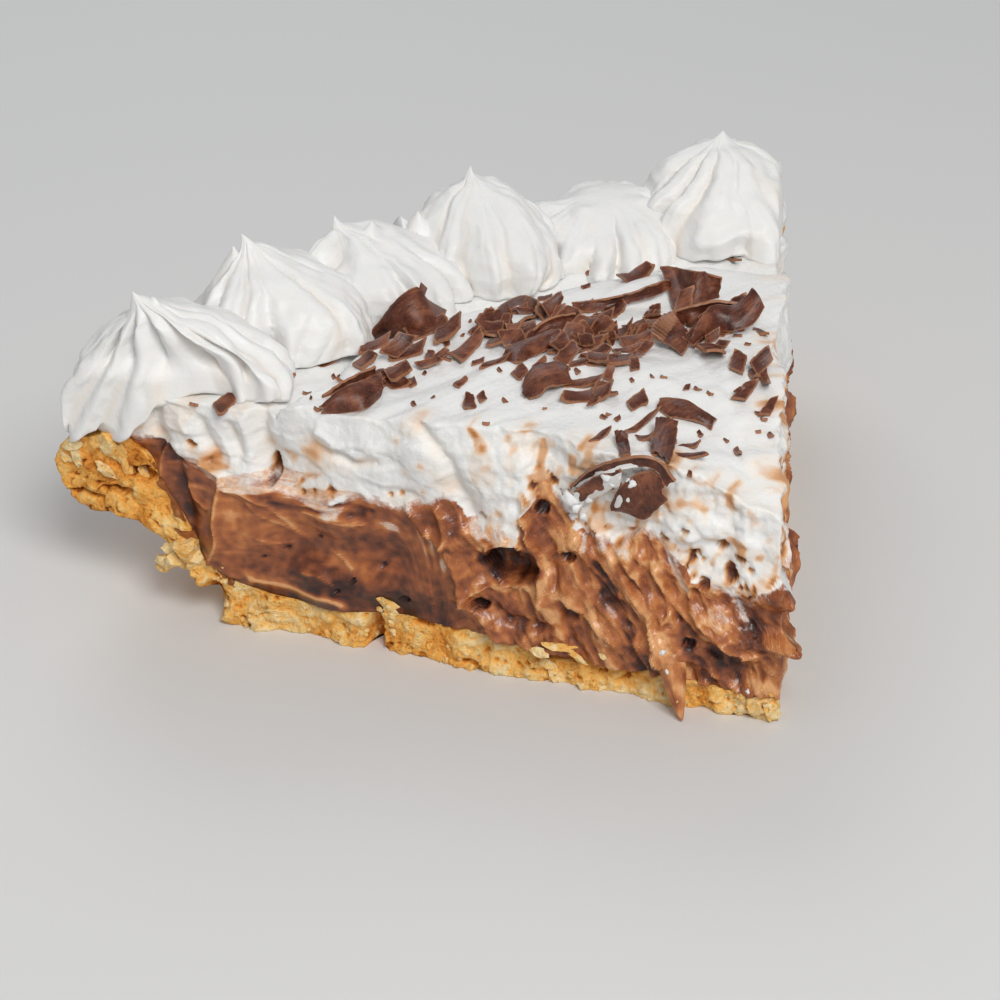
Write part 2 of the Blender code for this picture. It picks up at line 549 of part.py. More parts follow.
# Raises a mesh in small steps until it is clear of everything it could lie on.
def lay_on(bm, below):
    step = Vector((0.0, 0.0, GAP / 3.0))
    trees = [BVHTree.FromPolygons([v.co for v in obj.data.vertices],
                                  [p.vertices for p in obj.data.polygons]) for obj in below]
    while any(tree.overlap(BVHTree.FromBMesh(bm)) for tree in trees):
        bmesh.ops.translate(bm, verts=bm.verts, vec=step)
    bmesh.ops.translate(bm, verts=bm.verts, vec=(0.0, 0.0, GAP))


def main():
    for obj in list(bpy.data.objects):
        bpy.data.objects.remove(obj)
    pie = bpy.data.collections.new("chocolate_cream_pie_slice")
    flakes = bpy.data.collections.new("flakes")
    drips = bpy.data.collections.new("drips")
    cutters = bpy.data.collections.new("cutters")
    for collection in (pie, flakes, drips, cutters):
        bpy.context.scene.collection.children.link(collection)

    baked = material("baked_crust", (0.66, 0.41, 0.14), 0.85)
    pudding = material("chocolate_filling", (0.20, 0.075, 0.03), 0.38)
    whipped = material("whipped_cream", (0.86, 0.84, 0.80), 0.6)
    shaved = material("shaved_chocolate", (0.085, 0.03, 0.015), 0.5)

    crust = finish_part(slice_solid("crust", CRUST_RINGS, 3, crust_point), baked, pie)
    make_crumbled(cutters)
    cut = crust.modifiers.new("Crumbled", "BOOLEAN")
    cut.operation = "DIFFERENCE"
    cut.solver = "EXACT"
    cut.operand_type = "COLLECTION"
    cut.collection = cutters

    filling = finish_part(slice_solid("chocolate_filling", FILLING_RINGS, 6, filling_point), pudding, pie)
    make_drip(drips)
    fuse(filling, drips)

    layer = slice_solid("whipped_cream", FILLING_RINGS + BORDER_RINGS, 4, cream_point)
    cream = finish_part(layer, whipped, pie)
    make_flakes(flakes)
    fuse(cream, flakes)

    middles = [math.radians(entry[0]) for entry in ROSETTES]
    bounds = [0.0] + [(a + b) / 2.0 for a, b in zip(middles, middles[1:])] + [SLICE_ANGLE]
    below = [cream]
    for number in range(len(ROSETTES)):
        below.append(finish_part(make_rosette(number, bounds[number], bounds[number + 1]), whipped, pie))
    for name in CURLS:
        below.append(finish_part(make_curl(name, below), shaved, pie))


main()
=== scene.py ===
import math
import random

import bmesh
import bpy
import numpy as np
from mathutils import Matrix, Vector, noise
from mathutils.bvhtree import BVHTree


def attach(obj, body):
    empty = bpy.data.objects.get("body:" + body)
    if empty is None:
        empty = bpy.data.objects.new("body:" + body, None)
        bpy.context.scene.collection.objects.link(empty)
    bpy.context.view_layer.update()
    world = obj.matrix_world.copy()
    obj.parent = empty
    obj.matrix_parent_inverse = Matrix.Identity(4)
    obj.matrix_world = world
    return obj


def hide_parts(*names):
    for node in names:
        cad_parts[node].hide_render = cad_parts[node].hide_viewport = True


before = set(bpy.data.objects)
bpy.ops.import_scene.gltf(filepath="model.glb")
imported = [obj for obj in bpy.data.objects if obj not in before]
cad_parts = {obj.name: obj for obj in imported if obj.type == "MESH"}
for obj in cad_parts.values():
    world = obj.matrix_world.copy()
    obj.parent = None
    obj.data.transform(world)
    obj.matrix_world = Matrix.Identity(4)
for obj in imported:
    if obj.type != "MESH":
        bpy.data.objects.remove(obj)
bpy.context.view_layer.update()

# A cut slice of chocolate cream pie. Lengths are in metres unless a note says millimetres.
# A place on the slice is a radius from its point and an angle from the near cut.
mm = 0.001
pie = {
    "angle": math.radians(74.0),
    "pointY": -0.070,
    "pointRound": 0.006,        # the cut faces calm down this close to the point
    "cutReach": 0.008,          # how deep the unevenness of a cut face runs into the slice
    "fillingLastStation": 8.55,     # where the filling's side ends on the section of the crust
    "fillingRings": 126,
    "fillingRows": 21,
    "creamRows": 12,
    "borderRings": 18,          # rings of the cream beyond the filling
    "farRise": 0.009,           # the filling stands this much higher on the far side of the point
    "ledgeRadius": 0.0775,
    "ledgeTop": 0.0420,
    "borderRadius": 0.1212,
    "borderSink": 0.0007,       # the cream of the border is pressed this far into the rough rim
    "cutSplits": 2,             # how often each cell of a cut face is split again
    "edgeRings": 7.0,           # over these outer rings the cream's upper edge is rounded off,
    "edgeIn": 0.0042,           # this far in
    "edgeDown": 0.0030,         # and this far down
    "seed": 7,
}

# Sections from the point outwards, as pairs of radius and height.
crustOutside = [(0.0, 0.0), (0.028, 0.0), (0.056, 0.0), (0.084, 0.0), (0.0955, 0.0), (0.0993, 0.0038),
                (0.1047, 0.0092), (0.1108, 0.0161), (0.1165, 0.0180), (0.1225, 0.0180), (0.1262, 0.0220)]
crustInside = [(0.0, 0.0044), (0.028, 0.0056), (0.056, 0.0074), (0.082, 0.0066), (0.0910, 0.0076),
               (0.0965, 0.0104), (0.1015, 0.0160), (0.1055, 0.0232), (0.1090, 0.0302),
               (0.1145, 0.0337), (0.1242, 0.0312)]
fillingTop = [(0.0, 0.0148), (0.004, 0.0160), (0.013, 0.0222), (0.023, 0.0280), (0.034, 0.0275),
              (0.043, 0.0258), (0.055, 0.0284), (0.072, 0.0277), (0.087, 0.0290), (0.099, 0.0308),
              (0.1068, 0.0318)]
creamUnderBorder = [(0.1068, 0.0318), (0.1098, 0.0331), (0.1140, 0.0346), (0.1180, 0.0348), (0.1208, 0.0344)]
creamUpper = [(0.0, 0.0360), (0.004, 0.0385), (0.013, 0.0425), (0.029, 0.0455), (0.042, 0.0455),
              (0.054, 0.0449), (0.068, 0.0446), (0.0745, 0.0442), (0.0768, 0.0432), (0.0779, 0.0406),
              (0.0800, 0.0412), (0.0830, 0.0420), (0.1212, 0.0420)]
borderFoot = [(0.0, 0.0846), (7.7, 0.0803), (16.6, 0.0832), (29.2, 0.0809), (36.4, 0.0785),
              (42.5, 0.0776), (53.2, 0.0786), (63.7, 0.0789), (74.0, 0.0740)]   # degrees and radius

half = pie["angle"] / 2.0
pointFlat = np.array((0.0, pie["pointY"]))
pointSpot = Vector((*pointFlat, 0.0))
cuts = {
    "near": {"along": np.array((-math.sin(half), math.cos(half))),
             "out": np.array((-math.cos(half), -math.sin(half)))},
    "far": {"along": np.array((math.sin(half), math.cos(half))),
            "out": np.array((math.cos(half), -math.sin(half)))},
}


# Camera: it stands where the picture was taken from.
camera = {"azimuth": 31.3, "elevation": 29.85, "roll": -2.18, "distance": 0.5429,
          "target": (0.00199, 0.01586, 0.0), "lens": 108.0, "sensor": 36.0, "pixels": 1000}


def makeCamera(spec):
    azimuth, elevation = math.radians(spec["azimuth"]), math.radians(spec["elevation"])
    ahead = Vector((math.sin(azimuth), math.cos(azimuth), 0.0))
    target = Vector(spec["target"])
    spot = target - ahead * spec["distance"] * math.cos(elevation)
    spot.z += spec["distance"] * math.sin(elevation)
    data = bpy.data.cameras.new("camera")
    data.sensor_width = spec["sensor"]
    data.lens = spec["lens"]
    cam = bpy.data.objects.new("camera", data)
    look = (target - spot).to_track_quat("-Z", "Y").to_matrix().to_4x4()
    cam.matrix_world = (Matrix.Translation(spot) @ look
                        @ Matrix.Rotation(math.radians(spec["roll"]), 4, "Z"))
    bpy.context.scene.collection.objects.link(cam)
    bpy.context.scene.camera = cam
    return cam


cam = makeCamera(camera)
camPlace = cam.matrix_world.copy()


# The line of sight through a pixel of the picture.
def sightLine(x, y):
    size = camera["pixels"]
    reach = camera["sensor"] / camera["lens"] / size
    local = Vector(((x - size / 2.0) * reach, (size / 2.0 - y) * reach, -1.0))
    return camPlace.translation.copy(), (camPlace.to_3x3() @ local).normalized()


# Number helpers, all on arrays.
def unit(value):
    return np.clip(value, 0.0, 1.0)


def positive(value):
    return np.clip(value, 0.0, None)


def smooth(value):
    value = unit(value)
    return value * value * (3.0 - 2.0 * value)


def bump(distance, width):
    return np.exp(-((distance / width) ** 2))


# A half round that rises from 0 to 1 and falls back as its share goes from 0 to 1.
def arch(share):
    return unit(1.0 - (2.0 * share - 1.0) ** 2)


def rough(x, y, z, size, seed):
    x, y, z = np.broadcast_arrays(x, y, z)
    spots = zip((x / size + 0.37).tolist(), (y / size + 0.61).tolist(), (z / size + 1.37 * seed).tolist())
    return np.array([noise.noise(spot) for spot in spots])


# Distances to the nearest two crumbs of a packed crumb pattern.
def crumbs(x, y, z, size, seed):
    spots = zip((x / size).tolist(), (y / size).tolist(), (z / size + 3.1 * seed).tolist())
    found = np.array([noise.voronoi(spot)[0][:2] for spot in spots])
    return found[:, 0], found[:, 1]


def heightAt(points, radius):
    radii, heights = zip(*points)
    return np.interp(radius, radii, heights)


# A smooth line through points, read at t from 0 to the number of the last point.
def along(points, t):
    points = np.array(points, float)
    last = len(points) - 1
    i = np.clip(np.floor(t).astype(int), 0, last - 1)
    p0, p1, p2, p3 = (points[np.clip(i + k, 0, last)] for k in (-1, 0, 1, 2))
    f = (t - i)[..., None]
    bend = (2.0 * p0 - 5.0 * p1 + 4.0 * p2 - p3) * f ** 2 + (3.0 * p1 - p0 - 3.0 * p2 + p3) * f ** 3
    return 0.5 * (2.0 * p1 + (p2 - p0) * f + bend)


def place(radius, angle, height):
    bearing = angle - half
    radius, height = np.broadcast_arrays(radius, height)
    return np.stack([radius * np.sin(bearing), pie["pointY"] + radius * np.cos(bearing), height], axis=-1)


def polar(spots):
    x, y = spots[..., 0], spots[..., 1] - pie["pointY"]
    return np.hypot(x, y), np.arctan2(x, y) + half


# Millimetres along a cut from the point, behind its plane, and up.
def onCut(spots, cut):
    flat = spots[:, :2] - pointFlat
    return flat @ cuts[cut]["along"] * 1000.0, -(flat @ cuts[cut]["out"]) * 1000.0, spots[:, 2] * 1000.0


# Soft hollows (above zero) and bulges (below zero) of the cut faces, in millimetres:
# along the cut, height, half width, half height and depth. The grain is a height, size and seed.
relief = {
    "crust": [(103.5, 10.0, 3.0, 3.5, -1.8), (8.0, 3.0, 5.0, 4.0, -0.8), (53.0, 2.0, 7.0, 3.0, -0.9),
              (84.0, 4.0, 6.0, 5.0, 1.0)],
    "filling": [(103.5, 22.0, 4.5, 7.0, 2.0), (96.0, 18.0, 2.6, 9.0, -1.0), (44.0, 20.5, 6.0, 4.0, 2.2),
                (53.5, 20.0, 3.4, 6.0, -1.8), (37.0, 15.0, 3.5, 5.0, -1.8), (30.0, 12.0, 4.0, 5.0, -1.6),
                (17.0, 10.5, 4.0, 3.6, -2.6), (11.0, 17.0, 4.0, 4.0, 0.8), (72.0, 18.0, 12.0, 6.0, 0.6),
                (60.0, 13.0, 4.0, 3.5, -1.2), (24.0, 21.0, 3.5, 4.0, -1.4), (85.0, 12.0, 6.0, 3.0, -0.8),
                (5.0, 9.0, 3.0, 3.0, 1.2)],
    "cream": [(86.5, 34.0, 3.0, 5.0, 2.4), (60.0, 38.0, 9.0, 7.0, -0.8), (38.0, 38.0, 4.0, 8.0, 1.2),
              (27.0, 40.0, 6.0, 5.0, -0.9), (9.0, 30.0, 2.5, 3.0, 1.5)],
    "farSide": [(20.0, 18.0, 5.0, 5.0, -1.2), (48.0, 22.0, 8.0, 5.0, 1.4), (75.0, 16.0, 6.0, 5.0, -1.0),
                (90.0, 24.0, 5.0, 6.0, 1.2), (62.0, 38.0, 6.0, 6.0, -1.0), (34.0, 36.0, 5.0, 6.0, 1.2)],
    "grain": {"crust": (0.0011, 0.0045, 11), "filling": (0.0020, 0.0080, 31), "cream": (0.0016, 0.0080, 61)},
}


def softRelief(form, kind, radius, height, farSide):
    depth = sum(d * bump(radius * 1000.0 - s, ws) * bump(height * 1000.0 - z, wz) for s, z, ws, wz, d in form)
    tall, size, seed = relief["grain"][kind]
    return mm * depth + tall * rough(radius, 0.0, height, size, seed + (20 if farSide else 0))


# How far the cut faces lie inside their planes. Filling and cream run into each other over border.
def cutDepths(kind, radius, height, border):
    if kind == "crust":
        return (softRelief(relief["crust"], "crust", radius, height, False),
                softRelief(relief["farSide"][:1], "crust", radius, height, True))
    share = smooth((height - border) / 0.003 + 0.5)
    sides = [(relief["filling"], relief["cream"], False), (relief["farSide"], relief["farSide"], True)]
    return [softRelief(low, "filling", radius, height, far) * (1.0 - share)
            + softRelief(high, "cream", radius, height, far) * share for low, high, far in sides]


def cutAngle(kind, radius, angle, height, border):
    steady = np.maximum(radius, pie["pointRound"])
    fade = np.minimum(1.0, radius / pie["pointRound"])
    near, far = cutDepths(kind, radius, height, border)
    nearShare = np.exp(-radius * np.sin(angle) / pie["cutReach"])
    farShare = np.exp(-radius * np.sin(pie["angle"] - angle) / pie["cutReach"])
    return angle + fade * (near * nearShare - far * farShare) / steady


# A flat grid from 0 to 1 both ways.
def makePlate(long, wide):
    bm = bmesh.new()
    bmesh.ops.create_grid(bm, x_segments=long, y_segments=wide, size=0.5)
    bmesh.ops.translate(bm, verts=bm.verts, vec=(0.5, 0.5, 0.0))
    return bm


# A closed grid over the slice's outline: its corner is the point, its two far sides the rim.
# Both cut faces are split finer. The vertices hold two shares and a level, each up to 1.
# The edge of the cut faces at seamLevel, 0 or 1, stays sharp.
def sliceGrid(rings, rows, seamLevel):
    bm = makePlate(rings, rings)
    raised = bmesh.ops.extrude_face_region(bm, geom=bm.faces[:])
    upper = [g for g in raised["geom"] if isinstance(g, bmesh.types.BMVert)]
    bmesh.ops.translate(bm, verts=upper, vec=(0.0, 0.0, 1.0))
    uprights = [e for e in bm.edges if abs(e.verts[0].co.z - e.verts[1].co.z) > 0.5]
    bmesh.ops.subdivide_edges(bm, edges=uprights, cuts=rows - 1, use_grid_fill=True)
    cutEdges = [e for e in bm.edges
                if max(v.co.x for v in e.verts) < 1e-5 or max(v.co.y for v in e.verts) < 1e-5]
    bmesh.ops.subdivide_edges(bm, edges=cutEdges, cuts=pie["cutSplits"], use_grid_fill=True)
    for e in bm.edges:
        onSeam = all(abs(v.co.z - seamLevel) < 1e-5 and min(v.co.x, v.co.y) < 1e-5 for v in e.verts)
        e.smooth = not onSeam
    bmesh.ops.triangulate(bm, faces=bm.faces[:], quad_method="FIXED")
    bmesh.ops.recalc_face_normals(bm, faces=bm.faces[:])
    return bm


def toPiece(bm, name):
    mesh = bpy.data.meshes.new(name)
    bm.to_mesh(mesh)
    bm.free()
    piece = bpy.data.objects.new(name, mesh)
    bpy.context.scene.collection.objects.link(piece)
    mesh.polygons.foreach_set("use_smooth", [True] * len(mesh.polygons))
    return piece


def readSpots(piece):
    spots = np.empty(len(piece.data.vertices) * 3)
    piece.data.vertices.foreach_get("co", spots)
    return spots.reshape(-1, 3)


def writeSpots(piece, spots):
    piece.data.vertices.foreach_set("co", np.ascontiguousarray(spots, np.float32).ravel())
    piece.data.update()


def writeShare(piece, name, values):
    layer = piece.data.attributes.new(name, "FLOAT", "POINT")
    layer.data.foreach_set("value", np.ascontiguousarray(values, np.float32))


def gridShares(piece):
    p, q, level = readSpots(piece).T
    ring = np.maximum(p, q)
    across = np.where(ring > 0.0, 0.5 + 0.5 * (p - q) / np.maximum(ring, 1e-9), 0.5)
    return ring, across, level


# Crust: flat base, sloping wall and thick rim.
def crustSpots(ring, across, level):
    station = np.interp(ring, (0.0, 0.58, 1.0), (0.0, 3.0, len(crustOutside) - 1.0))
    outside, inside = along(crustOutside, station), along(crustInside, station)
    radius, height = (outside + (inside - outside) * level[:, None]).T
    radius = radius + np.sin(math.pi * level) * 0.0016 * bump(1.0 - ring, 0.01)
    angle = across * pie["angle"]
    spot = place(radius, angle, height)
    craggy = sum(tall * rough(*spot.T, size, 3 + 2 * number)
                 for number, (tall, size) in enumerate(crustLook["crags"]))
    outer = np.interp(station, (4.2, 6.0), (0.0, 1.0)) * (1.0 - level)
    lip = np.interp(station, (9.2, 10.0), (0.0, 1.0)) * level
    radius = radius + craggy * np.maximum(outer, lip)
    height = np.maximum(height + 0.7 * craggy * outer - np.abs(craggy) * lip, 0.0)
    angle = cutAngle("crust", radius, angle, height, None)
    return place(radius, angle, height)


def fillingHeight(spots):
    radius, _ = polar(spots)
    tilt = np.interp(spots[..., 0], (-0.007, 0.007), (0.0, 1.0))
    return heightAt(fillingTop, radius) + pie["farRise"] * tilt * bump(radius, 0.016)


# Two lips of filling hang out past the point: height, half height and reach.
lips = [(0.0152, 0.0013, 0.0052), (0.0238, 0.0020, 0.0046)]


def lipReach(height, radius):
    return sum(out * bump(height - middle, tall) for middle, tall, out in lips) * bump(radius, 0.008)


def fillingSpots(ring, across, level):
    station = np.interp(ring, (0.0, 0.62, 1.0), (0.0, 2.95, pie["fillingLastStation"]))
    under = along(crustInside, station)
    topRadius = ring * fillingTop[-1][0]
    radius = under[:, 0] + (topRadius - under[:, 0]) * level
    angle = across * pie["angle"]
    top = fillingHeight(place(topRadius, angle, 0.0))
    height = under[:, 1] + (top - under[:, 1]) * level
    angle = cutAngle("filling", radius, angle, height, heightAt(fillingTop, radius))
    spot = place(radius, angle, height)
    spot[:, 1] -= lipReach(height, radius)
    return spot


# The cream's upper side: soft waves and the marks of spreading, a lower ledge under the border.
creamRelief = {"waves": [(0.0016, 0.022, 41), (0.0008, 0.009, 43)], "marks": 0.00030, "lumps": 0.0007}


def creamHeight(spots):
    radius, angle = polar(spots)
    foot = heightAt(borderFoot, np.degrees(angle))
    shifted = radius - (foot - pie["ledgeRadius"]) * smooth((radius - 0.052) / (foot - 0.052))
    x, y = spots[..., 0], spots[..., 1]
    waves = sum(tall * rough(x, y, 0.0, size, seed) for tall, size, seed in creamRelief["waves"])
    calm = np.interp(shifted, (pie["ledgeRadius"] - 0.008, pie["ledgeRadius"] - 0.002), (1.0, 0.0))
    marks = rough(x * 0.08 + y * 0.01, y, 0.0, 0.0016, 45) * creamRelief["marks"]
    marks = marks + rough(x * 0.25, y, 0.0, 0.004, 46) * creamRelief["marks"]
    lumps = np.abs(rough(x, y, 0.0, 0.0045, 47)) * creamRelief["lumps"]
    lumps = lumps * np.interp(radius, (0.02, 0.045), (1.6, 0.25))
    return heightAt(creamUpper, shifted) + waves * calm + marks + lumps


def creamSpots(ring, across, level):
    rings = pie["fillingRings"] + pie["borderRings"]
    number = ring * rings
    angle = across * pie["angle"]
    onFilling = number <= pie["fillingRings"] + 0.01
    innerRadius = number / pie["fillingRings"] * fillingTop[-1][0]
    innerHeight = fillingHeight(place(innerRadius, angle, 0.0))
    beyond = positive(number - pie["fillingRings"]) / pie["borderRings"]
    outer = along(creamUnderBorder, beyond * (len(creamUnderBorder) - 1.0))
    radius = np.where(onFilling, innerRadius, outer[:, 0])
    under = np.where(onFilling, innerHeight, outer[:, 1] - pie["borderSink"] * smooth(beyond * 6.0))
    height = under + (creamHeight(place(radius, angle, 0.0)) - under) * level
    edge = 0.0007 * np.sin(math.pi * level) * (1.0 + 2.0 * rough(angle * 14.0, level * 2.0, 0.0, 1.0, 51))
    radius = radius + edge * (number > rings - 0.5)
    rounded = smooth((number - rings + pie["edgeRings"]) / pie["edgeRings"]) * level ** 2
    radius, height = radius - pie["edgeIn"] * rounded, height - pie["edgeDown"] * rounded
    angle = cutAngle("cream", radius, angle, height, heightAt(fillingTop, radius))
    spot = place(radius, angle, height)
    spot[:, 1] -= lipReach(height, radius)
    return spot


